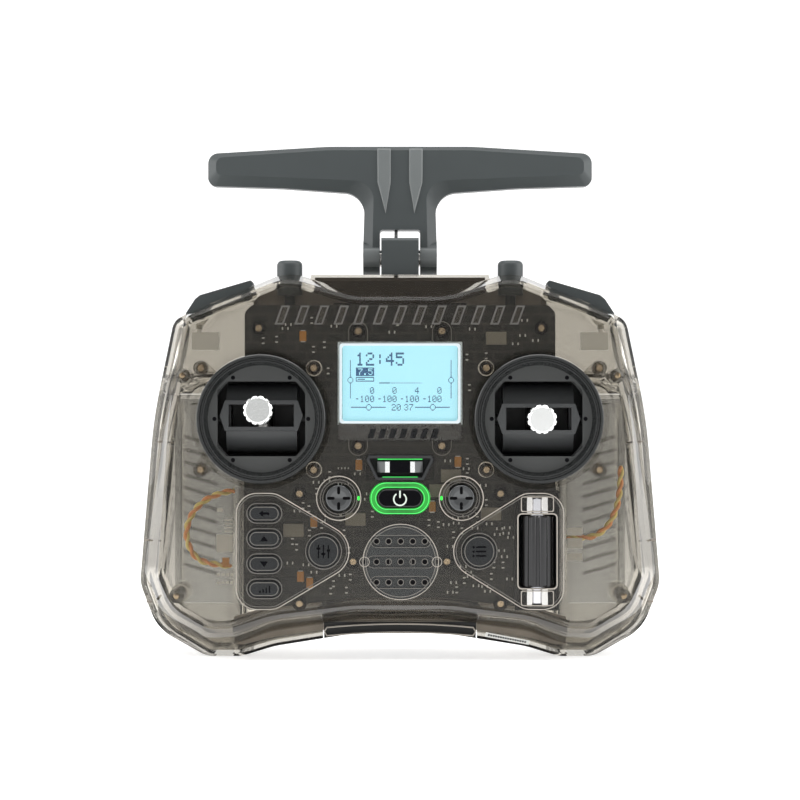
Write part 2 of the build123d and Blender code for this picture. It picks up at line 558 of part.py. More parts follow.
def gimbal_springs():
    """Return springs beside the frames: one on the left gimbal, two on the right."""
    away = 17.9
    upright = [rod_z(s * (GIMBAL_X + away), 5.5, GIMBAL_Z - 9, GIMBAL_Z + 9, 1.3) for s in (-1, 1)]
    return upright + [rod_x(GIMBAL_X - 9, GIMBAL_X + 9, 5.5, GIMBAL_Z - away, 1.3)]


# ---------------------------------------------------------------- switches on the top and back
def toggle(x):
    cap = rod_z(x, TOGGLE_Y, 109.0, 119.6, 3.85)
    cap = fillet(cap.edges().filter_by(GeomType.CIRCLE).sort_by(Axis.Z)[-1:], 1.5)
    return cap + rod_z(x, TOGGLE_Y, TOGGLE_Z, 109.2, 1.6) + Pos(x, TOGGLE_Y, TOGGLE_Z) * Sphere(2.0)


def switch_bodies():
    made = []
    for s in (1, -1):
        x = s * TOGGLE_X
        made.append(block(x - 4.5, x + 4.5, 2.4, 11.4, 92, 104.6) - Pos(x, TOGGLE_Y, TOGGLE_Z) * Sphere(2.3)
                    - rod_z(x, TOGGLE_Y, 104, 110, 3.2))
        made.append(block(s * 59 - 4, s * 59 + 4, 4.0, 10.0, 92.5, 97.8) + rod_z(s * 61, 7.0, 97, 100.2, 0.8))
    made.append(disc(-DIAL_X, DIAL_Z, 4.5, 9.3, 11.4) - disc(-DIAL_X, DIAL_Z, 1.7, 9, 12))
    made.append(disc(DIAL_X, DIAL_Z, 3.0, 9.1, 9.6))
    return made


SHOULDER = [(44.3, 112.3), (45.0, 113.5), (60.4, 109.0), (61.9, 107.8), (64.9, 103.2), (63.2, 101.9),
            (60.0, 101.9), (57.0, 106.2), (46.0, 110.2)]


def shoulder_button(s):
    """A wedge that is hinged at its thin inner end and pressed at its thick outer end."""
    face = make_face(Polyline(*[(s * x, z) for x, z in SHOULDER], close=True))
    x, z = SHOULDER_PIVOT
    lug = hull_of([(s * x, z, 1.5), (s * (x + 0.8), z + 2.4, 1.2)])
    top = [e for e in slab(face, 2.4, 11.6).edges().filter_by(Axis.Y) if e.center().Z > 102.5]
    wedge = fillet(top, 0.5) + slab(lug, 2.4, 11.6)
    return wedge + disc(s * x, z, 0.8, 1.0, 13.0)


def shoulder_pocket(s, wall=0.0):
    """The room a shoulder button moves in, or with a wall thickness the lining round that room."""
    low = [(43.9, 114), (66.5, 114), (66.5, 103.2), (64.6, 100.2), (59.2, 99.9), (55.5, 104.6), (44.2, 107.0)]
    outline = make_face(Polyline(*[(s * x, z) for x, z in low], close=True))
    if wall:
        outline = offset(outline, wall, kind=Kind.INTERSECTION)
    return slab(outline, 2.1 - wall, 11.9 + wall)


def side_dial():
    knob = disc(-DIAL_X, DIAL_Z, 5.5, BACK_Y + 0.4, BACK_Y + 5.4)
    knob = chamfer(knob.faces().sort_by(Axis.Y)[-1].edges(), 0.6)
    for i in range(18):
        turn = 2 * math.pi * i / 18
        knob -= disc(-DIAL_X + 5.8 * math.cos(turn), DIAL_Z + 5.8 * math.sin(turn), 0.6, BACK_Y, BACK_Y + 6)
    return knob + disc(-DIAL_X, DIAL_Z, 1.5, 9.4, BACK_Y + 0.4)


def momentary_button():
    cap = disc(DIAL_X, DIAL_Z, 4.0, 11.4, BACK_Y + 2.6)
    cap = fillet(cap.faces().sort_by(Axis.Y)[-1].edges(), 0.7)
    return cap + disc(DIAL_X, DIAL_Z, 4.9, 10.4, 11.4)


# ---------------------------------------------------------------- antenna
def antenna_bracket():
    profile = Polyline((8.6, 115.2), (8.6, BRACKET_TOP - 0.8), (9.4, BRACKET_TOP), (HINGE_Y, BRACKET_TOP),
                       (HINGE_Y, 115.6), (14.2, 115.2), close=True)
    side = Plane(origin=(-5.7, 0, 0), x_dir=(0, 1, 0), z_dir=(1, 0, 0))
    body = extrude(side * make_face(profile), amount=11.4) + rod_x(-5.7, 5.7, HINGE_Y, HINGE_Z, 5.3)
    return body - rod_x(-8, 8, HINGE_Y, HINGE_Z, 1.25) - rod_z(COAX_X, COAX_Y, 114, BRACKET_TOP + 1, 0.75)


def antenna_pin():
    washers = [rod_x(s * 5.95 - 0.2, s * 5.95 + 0.2, HINGE_Y, HINGE_Z, 2.6)
               - rod_x(s * 5.95 - 1, s * 5.95 + 1, HINGE_Y, HINGE_Z, 1.25) for s in (1, -1)]
    return [rod_x(-10.9, 10.9, HINGE_Y, HINGE_Z, 1.2)] + washers


def antenna():
    """The folding T: two swept arms on a short forked mast, with a wide bevel under the arms."""
    arm_top, arm_foot = ANTENNA_TOP - 2.2, ANTENNA_TOP - 12.1
    outline = [(22, ANTENNA_TOP, 60), (ANTENNA_HALF, arm_top, 3.2), (ANTENNA_HALF, arm_foot, 2.6),
               (36, arm_foot - 0.7, 60), (10.8, arm_foot - 2.5, 6.5), (11.4, HINGE_Z, 0.6)]
    face_half = ANTENNA_HALF - 2.6
    face = [(22, ANTENNA_TOP - 1.3, 60), (face_half, arm_top - 1.4, 2.2), (face_half, arm_foot + 3.3, 1.8),
            (36, arm_foot + 2.5, 60), (8.0, arm_foot + 1.3, 6.0), (8.5, HINGE_Z, 0.6)]
    front, back = HINGE_Y - 4.4, HINGE_Y + 4.4
    mast = skin([(whole(face), front, 0), (whole(outline), front + 2.4, 0), (whole(outline), back - 1.2, 0),
                 (whole(outline), back, 1.2)])
    fin_top = ANTENNA_TOP - 0.8
    for s in (1, -1):
        rib = [(s * 2.8, fin_top), (s * 7.0, fin_top), (s * 6.9, 144), (s * 4.4, 134.4), (s * 2.8, 144)]
        fin = make_face(Polyline(*rib, close=True))
        mast += chamfer(slab(fin, front - 0.6, front + 0.2).faces().sort_by(Axis.Y)[0].edges(), 0.4)
    mast += rod_x(-11.3, 11.3, HINGE_Y, HINGE_Z, 5.4)
    mast -= block(-6.2, 6.2, 5, 30, 110, BRACKET_TOP + 1.8)
    mast -= slab(Pos(0, BRACKET_TOP + 1.6) * RectangleRounded(12.4, 2.4, 0.9), 5, 30)
    return mast - rod_x(-20, 20, HINGE_Y, HINGE_Z, 1.25)


def antenna_coax():
    """The thin cable from the case to the antenna, up to where it starts to bend with the fold."""
    top = BRACKET_TOP + 1.1
    return tube([(COAX_X, COAX_Y, 110.5), (COAX_X, COAX_Y, top), (COAX_X, 16.5, top + 0.1)], [1.2], 0.55)


# ---------------------------------------------------------------- power and wiring
def battery_tray():
    low, high = CELL_LOW - 3.2, CELL_HIGH + 3.0
    tray = rod_z(CELL_X, CELL_Y, low, high, 10.3) - rod_z(CELL_X, CELL_Y, low + 1.2, high - 1.2, 9.5)
    for x, z in CASE_POSTS:
        tray -= disc(x, z, 2.9, 5, 22)
    return tray & block(45, 75, 0, CELL_Y, 0, 90) & grip_inner(0.1)


def battery_contacts():
    made = []
    for s in (1, -1):
        x, top, bottom = s * CELL_X, CELL_HIGH + 1.75, CELL_LOW - 1.95
        button = rod_z(x, CELL_Y - 2, CELL_HIGH + 0.05, top - 0.4, 2.6)
        made.append(block(x - 5, x + 5, 14, 20.4, top - 0.5, top) + button)
        made.append(block(x - 5, x + 5, 14, 20.4, bottom, bottom + 0.5)
                    + Pos(x, CELL_Y - 2, bottom + 1.1) * Cone(3.4, 2.0, 1.4))
    return made


def wiring():
    left = tube([(-49.5, -4, 50.2), (-55.5, -4, 49.4), (-62.0, -4.4, 44.5), (-64.6, -4.6, 37.0),
                 (-61.5, -4.6, 29.8), (-56.0, -4, 28.0), (-50.5, -4, 27.6)], [5.5, 5.5, 6, 6, 6], 0.9)
    right = tube([(50.0, -4, 36.4), (55.5, -4, 35.6), (61.0, -4.4, 37.8), (64.6, -4.6, 43.5),
                  (66.0, -4.6, 50.5), (66.2, -4, 57.5)], [6, 6, 7, 8], 0.9)
    speaker = tube([(-8.0, -7.0, 19.8), (-12.0, -7.0, 18.7), (-17.0, -7.0, 18.2), (-22.0, -7.0, 18.6)],
                   [6, 8], 0.7)
    return [left, right, speaker]


def module_pins():
    header = block(-7.5, 7.5, BAY_FLOOR_Y, BAY_FLOOR_Y + 2.5, 38.0, 40.5)
    for i in range(5):
        x = (i - 2) * 2.54
        header += block(x - 0.32, x + 0.32, BAY_FLOOR_Y + 2.4, BAY_FLOOR_Y + 10, 38.93, 39.57)
    return header


# ---------------------------------------------------------------- the assembly
def main():
    os.makedirs("parts", exist_ok=True)
    save("front_shell", front_shell())
    save("rear_shell", rear_shell())
    save("speaker_grille", speaker_grille())
    save("strap_cup", strap_cup())
    save("strap_bar", strap_bar())
    door = grip_door()
    save("right_battery_door", door)
    save("left_battery_door", flip(door))
    save("module_cover", module_cover())
    save("port_cover", port_cover())
    save("bottom_ports", *bottom_ports())
    save("lcd_lens", lcd_lens())
    save("lcd_panel", lcd_panel())
    save("lcd_frame", lcd_frame())
    save("main_board", main_board())
    save("board_parts", *board_parts())
    save("radio_board", radio_board())
    save("speaker_driver", speaker_driver())
    save("screws", *screws())

    for name, (x, z) in zip(OVAL_KEYS, oval_key_places()):
        save(name, key(x, z, KEY_SHAPE, SlotOverall(10.6, 6.0)))
    save("system_key", key(SYSTEM_X, ROUND_KEY_Z, ROUND_KEY, Circle(5.5)))
    save("model_key", key(MODEL_X, ROUND_KEY_Z, ROUND_KEY, Circle(5.5)))
    save("power_key", key(0, POWER_Z, POWER_SHAPE, POWER_SHAPE))
    save("power_light_ring", power_light_ring())
    for side, s in (("left", -1), ("right", 1)):
        x = s * GIMBAL_X
        tilt = THROTTLE_REST if s < 0 else 0.0
        save(f"{side}_trim_pad", trim_pad(s * TRIM_X))
        save(f"{side}_trim_carrier", trim_carrier(s * TRIM_X))
        save(f"{side}_gimbal_bezel", gimbal_bezel(x))
        save(f"{side}_gimbal_frame", gimbal_frame(x))
        save(f"{side}_stick_drum", at_gimbal(drum(), x, tilt))
        save(f"{side}_stick_shaft", at_gimbal(stick(), x, tilt))
        save(f"{side}_stick_end", at_gimbal(stick_end(), x, tilt))
        save(f"{side}_stick_bail", at_gimbal(bail(), x))
        save(f"{side}_toggle", toggle(s * TOGGLE_X))
        save(f"{side}_shoulder_button", shoulder_button(s))
    save("gimbal_springs", *gimbal_springs())
    save("roller", roller())
    save("roller_carriage", roller_carriage())
    save("switch_bodies", *switch_bodies())
    save("side_dial", side_dial())
    save("momentary_button", momentary_button())
    save("antenna", antenna())
    save("antenna_bracket", antenna_bracket())
    save("antenna_pin", *antenna_pin())
    save("antenna_coax", antenna_coax())
    save("battery_trays", *both_sides(battery_tray()))
    save("contacts", *battery_contacts(), module_pins())
    save("wiring", *wiring())


main()
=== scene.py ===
"""Looks for the handheld radio transmitter: stage, materials, and the fine pieces round the CAD model.

Lengths in this script are millimetres unless a name ends in _m. The front face looks along -Y and +Z is up.
"""

import math
import random

import bmesh
import bpy
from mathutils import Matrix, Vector
from mathutils.bvhtree import BVHTree


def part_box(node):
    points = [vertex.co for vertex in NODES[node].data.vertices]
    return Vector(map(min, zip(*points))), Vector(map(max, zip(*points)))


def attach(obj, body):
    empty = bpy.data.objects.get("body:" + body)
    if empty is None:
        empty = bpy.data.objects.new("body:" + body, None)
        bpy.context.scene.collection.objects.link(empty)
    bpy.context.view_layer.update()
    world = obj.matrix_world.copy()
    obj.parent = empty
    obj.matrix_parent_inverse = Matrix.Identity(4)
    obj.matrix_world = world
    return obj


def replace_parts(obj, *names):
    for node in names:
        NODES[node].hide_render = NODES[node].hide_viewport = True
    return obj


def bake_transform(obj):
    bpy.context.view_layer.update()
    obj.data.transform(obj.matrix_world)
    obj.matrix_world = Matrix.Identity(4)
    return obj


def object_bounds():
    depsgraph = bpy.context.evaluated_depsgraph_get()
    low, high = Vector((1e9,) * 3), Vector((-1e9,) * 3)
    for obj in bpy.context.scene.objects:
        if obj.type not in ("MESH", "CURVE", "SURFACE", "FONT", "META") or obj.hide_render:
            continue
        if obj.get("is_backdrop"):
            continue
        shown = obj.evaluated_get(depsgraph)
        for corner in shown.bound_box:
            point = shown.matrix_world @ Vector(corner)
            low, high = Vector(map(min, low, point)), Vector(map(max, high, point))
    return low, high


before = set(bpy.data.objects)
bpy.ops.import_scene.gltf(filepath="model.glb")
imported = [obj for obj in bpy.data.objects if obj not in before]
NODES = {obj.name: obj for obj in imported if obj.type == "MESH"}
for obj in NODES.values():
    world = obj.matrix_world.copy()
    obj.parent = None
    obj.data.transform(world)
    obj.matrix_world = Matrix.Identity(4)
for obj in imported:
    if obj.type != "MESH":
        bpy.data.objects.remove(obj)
cad_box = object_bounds()

MM = 0.001
SIDES = (("left", -1), ("right", 1))
FACE_Y = -15.5                       # outer front face of the case
BOARD_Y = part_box("main_board")[0].y / MM
KEY_X, KEY_Z = (-22.6, 23.4), 32.6   # the two round keys beside the grille
BOARD_BOSSES = [(12.4, 97.7), (12.4, 63.7), (41.9, 98.6), (29.8, 49.5), (29.8, 16.9), (13.9, 29.4),
                (25.6, 86.8), (25.6, 56.6)]      # right-hand places; each has a mirror image
WING_BOSSES = [(59.1, 86.8), (59.1, 56.6), (64.4, 84.5), (66.2, 19.2)]
PAINT = {}                           # the materials by short name, filled by main()


# ---------------------------------------------------------------- camera, light and floor
CAMERA_Y, CAMERA_Z, SENSOR_WIDTH = -795.0, 77.3, 36.0
VIEW_PLANE_Y, VIEW_WIDTH = 5.0, 242.4            # the view is this wide at this depth


def add_camera():
    data = bpy.data.cameras.new("camera")
    data.sensor_width = SENSOR_WIDTH
    data.lens = SENSOR_WIDTH * (VIEW_PLANE_Y - CAMERA_Y) / VIEW_WIDTH
    data.clip_start = 0.01
    camera = bpy.data.objects.new("camera", data)
    camera.location = (0, CAMERA_Y * MM, CAMERA_Z * MM)
    camera.rotation_euler = (math.radians(90), 0, 0)
    bpy.context.scene.collection.objects.link(camera)
    bpy.context.scene.camera = camera


def add_light(name, place, width, height, power):
    """A soft box light, sized in metres, that looks at the middle of the object."""
    target = Vector((0, 0, 0.08))
    data = bpy.data.lights.new(name, "AREA")
    data.shape = "RECTANGLE"
    data.size, data.size_y, data.energy = width, height, power
    light = bpy.data.objects.new(name, data)
    light.location = place
    light.rotation_euler = (target - Vector(place)).to_track_quat("-Z", "Y").to_euler()
    bpy.context.scene.collection.objects.link(light)


def add_studio():
    scene = bpy.context.scene
    scene.view_settings.view_transform = "Standard"
    scene.cycles.transparent_max_bounces = 64
    scene.cycles.use_denoising = True
    world = bpy.data.worlds.new("studio")
    world.use_nodes = True
    background = world.node_tree.nodes["Background"]
    background.inputs["Color"].default_value = (1, 1, 1, 1)
    background.inputs["Strength"].default_value = 0.55
    scene.world = world
    add_light("top_soft", (0, -0.15, 0.95), 1.2, 0.5, 9.0)
    for side, s in SIDES:
        add_light(side + "_soft", (s * 0.95, -0.15, 0.30), 0.7, 0.9, 8.0)


def add_floor():
    """A pale floor that sweeps up far behind the object."""
    reach_m, bend_start_m, bend_radius_m, wall_top_m = 60.0, 2.0, 1.0, 4.0
    rows = [(-reach_m, 0.0), (bend_start_m, 0.0)]
    for a in [math.radians(degrees) for degrees in range(10, 91, 10)]:
        rows.append((bend_start_m + math.sin(a) * bend_radius_m, bend_radius_m - math.cos(a) * bend_radius_m))
    rows.append((bend_start_m + bend_radius_m, wall_top_m))
    verts = [(x, y, z) for y, z in rows for x in (-reach_m, reach_m)]
    faces = [(2 * i, 2 * i + 1, 2 * i + 3, 2 * i + 2) for i in range(len(rows) - 1)]
    mesh = bpy.data.meshes.new("floor")
    mesh.from_pydata(verts, [], faces)
    for polygon in mesh.polygons:
        polygon.use_smooth = True
    mesh.materials.append(plastic("floor_white", (0.90, 0.90, 0.90), 0.9, specular=0.0, mottle=0.004,
                                  glow=0.5, glow_colour=(1, 1, 1)))
    floor = bpy.data.objects.new("floor", mesh)
    bpy.context.scene.collection.objects.link(floor)
    floor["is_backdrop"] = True


# ---------------------------------------------------------------- materials
def new_material(name):
    material = bpy.data.materials.new(name)
    material.use_nodes = True
    tree = material.node_tree
    tree.nodes.clear()
    return material, tree


def finished(material, shader):
    """The material with this shader on its surface."""
    tree = material.node_tree
    out = add_node(tree, "ShaderNodeOutputMaterial")
    tree.links.new(shader, out.inputs["Surface"])
    return material


def mixed(tree, share, first, second):
    """Two shaders mixed, with the second one's share."""
    mix = tree.nodes.new("ShaderNodeMixShader")
    for i, source in enumerate((share, first, second)):
        tree.links.new(source, mix.inputs[i])
    return mix.outputs[0]


def object_place(tree):
    return tree.nodes.new("ShaderNodeTexCoord").outputs["Object"]


def add_node(tree, kind, **values):
    node = tree.nodes.new(kind)
    for key, value in values.items():
        if key in node.inputs.keys():
            node.inputs[key].default_value = value
        else:
            setattr(node, key, value)
    return node


def object_noise(tree, scale, detail=3.0, stretch=None):
    """Noise fixed to the object, with scale in cycles per metre."""
    place = object_place(tree)
    if stretch:
        mapping = add_node(tree, "ShaderNodeMapping")
        mapping.inputs["Scale"].default_value = stretch
        tree.links.new(place, mapping.inputs["Vector"])
        place = mapping.outputs["Vector"]
    noise = add_node(tree, "ShaderNodeTexNoise", Scale=scale, Detail=detail)
    tree.links.new(place, noise.inputs["Vector"])
    return noise.outputs["Fac"]


def to_range(tree, value, low, high):
    node = add_node(tree, "ShaderNodeMapRange")
    node.inputs["To Min"].default_value = low
    node.inputs["To Max"].default_value = high
    tree.links.new(value, node.inputs["Value"])
    return node.outputs["Result"]


def colour_between(tree, value, first, second):
    node = add_node(tree, "ShaderNodeMix", data_type="RGBA")
    node.inputs[6].default_value = (*first, 1)
    node.inputs[7].default_value = (*second, 1)
    tree.links.new(value, node.inputs[0])
    return node.outputs[2]


def scaled(colour, factor):
    return tuple(min(c * factor, 1.0) for c in colour)


def plastic(name, colour, roughness, specular=0.5, mottle=0.06, grain=2600, depth=0.0, metallic=0.0, coat=0.0,
            stretch=None, glow=0.0, glow_colour=None):
    """A moulded or metal surface: a little colour variation, uneven polish and a fine grain."""
    material, tree = new_material(name)
    shader = add_node(tree, "ShaderNodeBsdfPrincipled")
    shader.inputs["Metallic"].default_value = metallic
    shader.inputs["Specular IOR Level"].default_value = specular
    shader.inputs["Coat Weight"].default_value = coat
    shader.inputs["Coat Roughness"].default_value = 0.06
    broad = object_noise(tree, 90, 2.0)
    tree.links.new(colour_between(tree, broad, scaled(colour, 1 - mottle), scaled(colour, 1 + mottle)),
                   shader.inputs["Base Color"])
    fine = object_noise(tree, grain, 3.0, stretch)
    tree.links.new(to_range(tree, fine, max(roughness - 0.06, 0.02), min(roughness + 0.06, 1.0)),
                   shader.inputs["Roughness"])
    if depth:
        bump = add_node(tree, "ShaderNodeBump", Strength=0.5, Distance=depth * MM)
        tree.links.new(fine, bump.inputs["Height"])
        tree.links.new(bump.outputs["Normal"], shader.inputs["Normal"])
    if glow:
        shader.inputs["Emission Strength"].default_value = glow
        shader.inputs["Emission Color"].default_value = (*(glow_colour or colour), 1)
    return finished(material, shader.outputs["BSDF"])


def smoke(name, tint, edge, haze, haze_colour, gloss=0.04):
    """Clear tinted plastic: what is behind shows through its tint, darker where the wall is seen edge on."""
    material, tree = new_material(name)
    facing = add_node(tree, "ShaderNodeLayerWeight", Blend=0.22)
    through = add_node(tree, "ShaderNodeBsdfTransparent")
    tree.links.new(colour_between(tree, facing.outputs["Facing"], tint, edge), through.inputs["Color"])
    body = add_node(tree, "ShaderNodeBsdfPrincipled", Roughness=0.5)
    body.inputs["Specular IOR Level"].default_value = 0.0
    broad = object_noise(tree, 40, 2.0)
    tree.links.new(colour_between(tree, broad, scaled(haze_colour, 0.93), scaled(haze_colour, 1.07)),
                   body.inputs["Base Color"])
    cloud = to_range(tree, object_noise(tree, 55, 1.0), haze * 0.8, haze * 1.2)
    milky = mixed(tree, cloud, through.outputs[0], body.outputs[0])
    mirror = add_node(tree, "ShaderNodeBsdfGlossy", Color=(1, 1, 1, 1))
    polish = to_range(tree, object_noise(tree, 300, 2.0), gloss, gloss + 0.03)
    tree.links.new(polish, mirror.inputs["Roughness"])
    fresnel = add_node(tree, "ShaderNodeFresnel", IOR=1.24)
    return finished(material, mixed(tree, fresnel.outputs[0], milky, mirror.outputs[0]))


def ring_glow(name, colour):
    """The lit ring round the power key: brightest at its two ends, where the lamps are."""
    material, tree = new_material(name)
    shader = add_node(tree, "ShaderNodeBsdfPrincipled", Roughness=0.25)
    shader.inputs["Emission Color"].default_value = (*colour, 1)
    tree.links.new(colour_between(tree, object_noise(tree, 700), scaled(colour, 0.15), scaled(colour, 0.3)),
                   shader.inputs["Base Color"])
    split = tree.nodes.new("ShaderNodeSeparateXYZ")
    tree.links.new(object_place(tree), split.inputs[0])
    away = add_node(tree, "ShaderNodeMath", operation="ABSOLUTE")
    tree.links.new(split.outputs["X"], away.inputs[0])
    strength = add_node(tree, "ShaderNodeMapRange")
    for socket, value in (("From Min", 2.5 * MM), ("From Max", 6.8 * MM), ("To Min", 0.02), ("To Max", 0.20)):
        strength.inputs[socket].default_value = value
    tree.links.new(away.outputs[0], strength.inputs["Value"])
    tree.links.new(strength.outputs["Result"], shader.inputs["Emission Strength"])
    return finished(material, shader.outputs["BSDF"])


def board_finish(name):
    """Black solder mask over a faint grid of tracks."""
    material, tree = new_material(name)
    shader = add_node(tree, "ShaderNodeBsdfPrincipled")
    shader.inputs["Specular IOR Level"].default_value = 0.4
    upright = add_node(tree, "ShaderNodeMapping")
    upright.inputs["Rotation"].default_value = (math.radians(90), 0, 0)
    tree.links.new(object_place(tree), upright.inputs["Vector"])
    tracks = add_node(tree, "ShaderNodeTexBrick", Scale=90.0)
    tracks.inputs["Mortar Size"].default_value = 0.035
    tracks.inputs["Color1"].default_value = (0.0, 0.0, 0.0, 1)
    tracks.inputs["Color2"].default_value = (0.12, 0.12, 0.12, 1)
    tracks.inputs["Mortar"].default_value = (1, 1, 1, 1)
    tree.links.new(upright.outputs["Vector"], tracks.inputs["Vector"])
    mask, copper = (0.016, 0.017, 0.016), (0.042, 0.040, 0.036)
    tree.links.new(colour_between(tree, tracks.outputs["Color"], mask, copper), shader.inputs["Base Color"])
    tree.links.new(to_range(tree, object_noise(tree, 1500), 0.32, 0.48), shader.inputs["Roughness"])
    bump = add_node(tree, "ShaderNodeBump", Strength=0.4, Distance=0.03 * MM)
    tree.links.new(tracks.outputs["Fac"], bump.inputs["Height"])
    tree.links.new(bump.outputs["Normal"], shader.inputs["Normal"])
    return finished(material, shader.outputs["BSDF"])


def between(axis, low, high):
    """A test for where the object's coordinate on an axis is between low and high mm."""
    def test(tree):
        split = tree.nodes.new("ShaderNodeSeparateXYZ")
        tree.links.new(object_place(tree), split.inputs[0])
        inside = add_node(tree, "ShaderNodeMath", operation="COMPARE")
        inside.inputs[1].default_value = (low + high) / 2 * MM
        inside.inputs[2].default_value = (high - low) / 2 * MM
        tree.links.new(split.outputs["XYZ".index(axis)], inside.inputs[0])
        return inside.outputs[0]
    return test


def within(x, z, radius):
    """A test for where a point is less than radius mm from the line along Y through (x, z) or (-x, z)."""
    def test(tree):
        flat = add_node(tree, "ShaderNodeVectorMath", operation="MULTIPLY")
        flat.inputs[1].default_value = (1, 0, 1)
        tree.links.new(object_place(tree), flat.inputs[0])
        mirrored = add_node(tree, "ShaderNodeVectorMath", operation="ABSOLUTE")
        tree.links.new(flat.outputs[0], mirrored.inputs[0])
        away = add_node(tree, "ShaderNodeVectorMath", operation="DISTANCE")
        away.inputs[1].default_value = (x * MM, 0, z * MM)
        tree.links.new(mirrored.outputs[0], away.inputs[0])
        inside = add_node(tree, "ShaderNodeMath", operation="LESS_THAN")
        inside.inputs[1].default_value = radius * MM
        tree.links.new(away.outputs["Value"], inside.inputs[0])
        return inside.outputs[0]
    return test


def masked(name, first, second, test):
    """The first material where the test holds, else the second."""
    material, tree = new_material(name)
    shaders = []
    for part in (second, first):
        node = tree.nodes.new("ShaderNodeGroup")
        node.node_tree = as_group(part)
        shaders.append(node.outputs[0])
    return finished(material, mixed(tree, test(tree), *shaders))


def as_group(material):
    """A node group that holds a copy of the material's nodes."""
    group = bpy.data.node_groups.new(material.name + "_surface", "ShaderNodeTree")
    group.interface.new_socket("Shader", in_out="OUTPUT", socket_type="NodeSocketShader")
    copies = {}
    for node in material.node_tree.nodes:
        if node.type == "OUTPUT_MATERIAL":
            continue
        copy = group.nodes.new(node.bl_idname)
        for key in ("operation", "data_type", "blend_type", "node_tree"):
            if hasattr(node, key):
                setattr(copy, key, getattr(node, key))
        for i, socket in enumerate(node.inputs):
            if hasattr(socket, "default_value"):
                copy.inputs[i].default_value = socket.default_value
        copies[node] = copy
    end = group.nodes.new("NodeGroupOutput")
    for link in material.node_tree.links:
        start = copies[link.from_node].outputs[list(link.from_node.outputs).index(link.from_socket)]
        if link.to_node.type == "OUTPUT_MATERIAL":
            group.links.new(start, end.inputs[0])
        else:
            target = copies[link.to_node].inputs[list(link.to_node.inputs).index(link.to_socket)]
            group.links.new(start, target)
    return group


# ---------------------------------------------------------------- mesh building
SHARP_EDGE = math.radians(40)


class Build:
    """Gathers solids into one mesh. Outlines are (x, z) lists in mm, seen from the front."""

    def __init__(self):
        self.mesh = bmesh.new()

    def loop(self, outline, y):
        """New corners along an outline at one depth."""
        return [self.mesh.verts.new((x * MM, y * MM, z * MM)) for x, z in outline]

    def close(self, near, far):
        """A solid between two loops of corners."""
        self.mesh.faces.new(near)
        self.mesh.faces.new(list(reversed(far)))
        for i in range(len(near)):
            j = (i + 1) % len(near)
            self.mesh.faces.new((near[j], near[i], far[i], far[j]))
        return self

    def skin(self, loops):
        """A solid over loops of corners that follow one another."""
        for first, second in zip(loops, loops[1:]):
            for i in range(len(first)):
                j = (i + 1) % len(first)
                self.mesh.faces.new((first[i], first[j], second[j], second[i]))
        self.mesh.faces.new(list(reversed(loops[0])))
        self.mesh.faces.new(loops[-1])
        return self

    def prism(self, outline, front, back):
        """A straight-sided solid between two depths."""
        return self.close(self.loop(outline, front), self.loop(outline, back))

    def box(self, x0, x1, y0, y1, z0, z1):
        return self.prism(plain_box(x0, x1, z0, z1), y0, y1)

    def block(self, x, z, width, height, front, back):
        """A box centred on (x, z)."""
        return self.box(x - width / 2, x + width / 2, front, back, z - height / 2, z + height / 2)

    def slab3(self, corners, thickness):
        """A thin plate on four or more corners in space, thickened towards the back."""
        near = [self.mesh.verts.new(Vector(c) * MM) for c in corners]
        far = [self.mesh.verts.new((Vector(c) + Vector((0, thickness, 0))) * MM) for c in corners]
        return self.close(near, far)

    def ring(self, outer, inner, front, back):
        """A closed band between two outlines with the same number of points."""
        edges = ((outer, front), (outer, back), (inner, back), (inner, front))
        loops = [self.loop(outline, y) for outline, y in edges]
        for first, second in zip(loops, loops[1:] + loops[:1]):
            for i in range(len(outer)):
                j = (i + 1) % len(outer)
                self.mesh.faces.new((first[i], second[i], second[j], first[j]))
        return self

    def hoop(self, x, z, outer, inner, front, back, steps=32):
        """A round ring of two radii."""
        return self.ring(circle(x, z, outer, steps), circle(x, z, inner, steps), front, back)

    def revolve(self, x, z, profile, steps=32):
        """A turned solid about a line along Y: profile is (radius, depth) from the front end to the back."""
        loops = [self.loop(circle(x, z, radius, steps) if radius else [(x, z)], y) for radius, y in profile]
        for first, second in zip(loops, loops[1:]):
            for i in range(steps):
                j = (i + 1) % steps
                corners = [first[i % len(first)], first[j % len(first)],
                           second[j % len(second)], second[i % len(second)]]
                self.mesh.faces.new([v for k, v in enumerate(corners) if v not in corners[:k]])
        for end in (loops[0], loops[-1]):
            if len(end) > 1:
                self.mesh.faces.new(end)
        return self

    def tube(self, points, radius, steps=10):
        """A round strand along a list of (x, y, z) points."""
        turns = [2 * math.pi * k / steps for k in range(steps)]
        loops = []
        for point, side, across in frames_along([Vector(p) * MM for p in points]):
            corners = [point + spoke(side, across, turn) * radius * MM for turn in turns]
            loops.append([self.mesh.verts.new(corner) for corner in corners])
        return self.skin(loops)

    def piece(self, name, finish, slot, body="case", bevel=0.0, smooth=True):
        """Makes the object, and lets it ride on a body unless body is None."""
        bmesh.ops.recalc_face_normals(self.mesh, faces=self.mesh.faces)
        data = bpy.data.meshes.new(name)
        self.mesh.to_mesh(data)
        self.mesh.free()
        obj = bpy.data.objects.new(name, data)
        bpy.context.scene.collection.objects.link(obj)
        data.materials.append(PAINT[finish])
        if bevel:
            cut = obj.modifiers.new("bevel", "BEVEL")
            cut.width, cut.segments, cut.limit_method = bevel * MM, 2, "ANGLE"
            cut.angle_limit = SHARP_EDGE
        if smooth:
            data.shade_smooth()
            data.set_sharp_from_angle(angle=SHARP_EDGE)
        if body:
            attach(obj, body)
        return obj


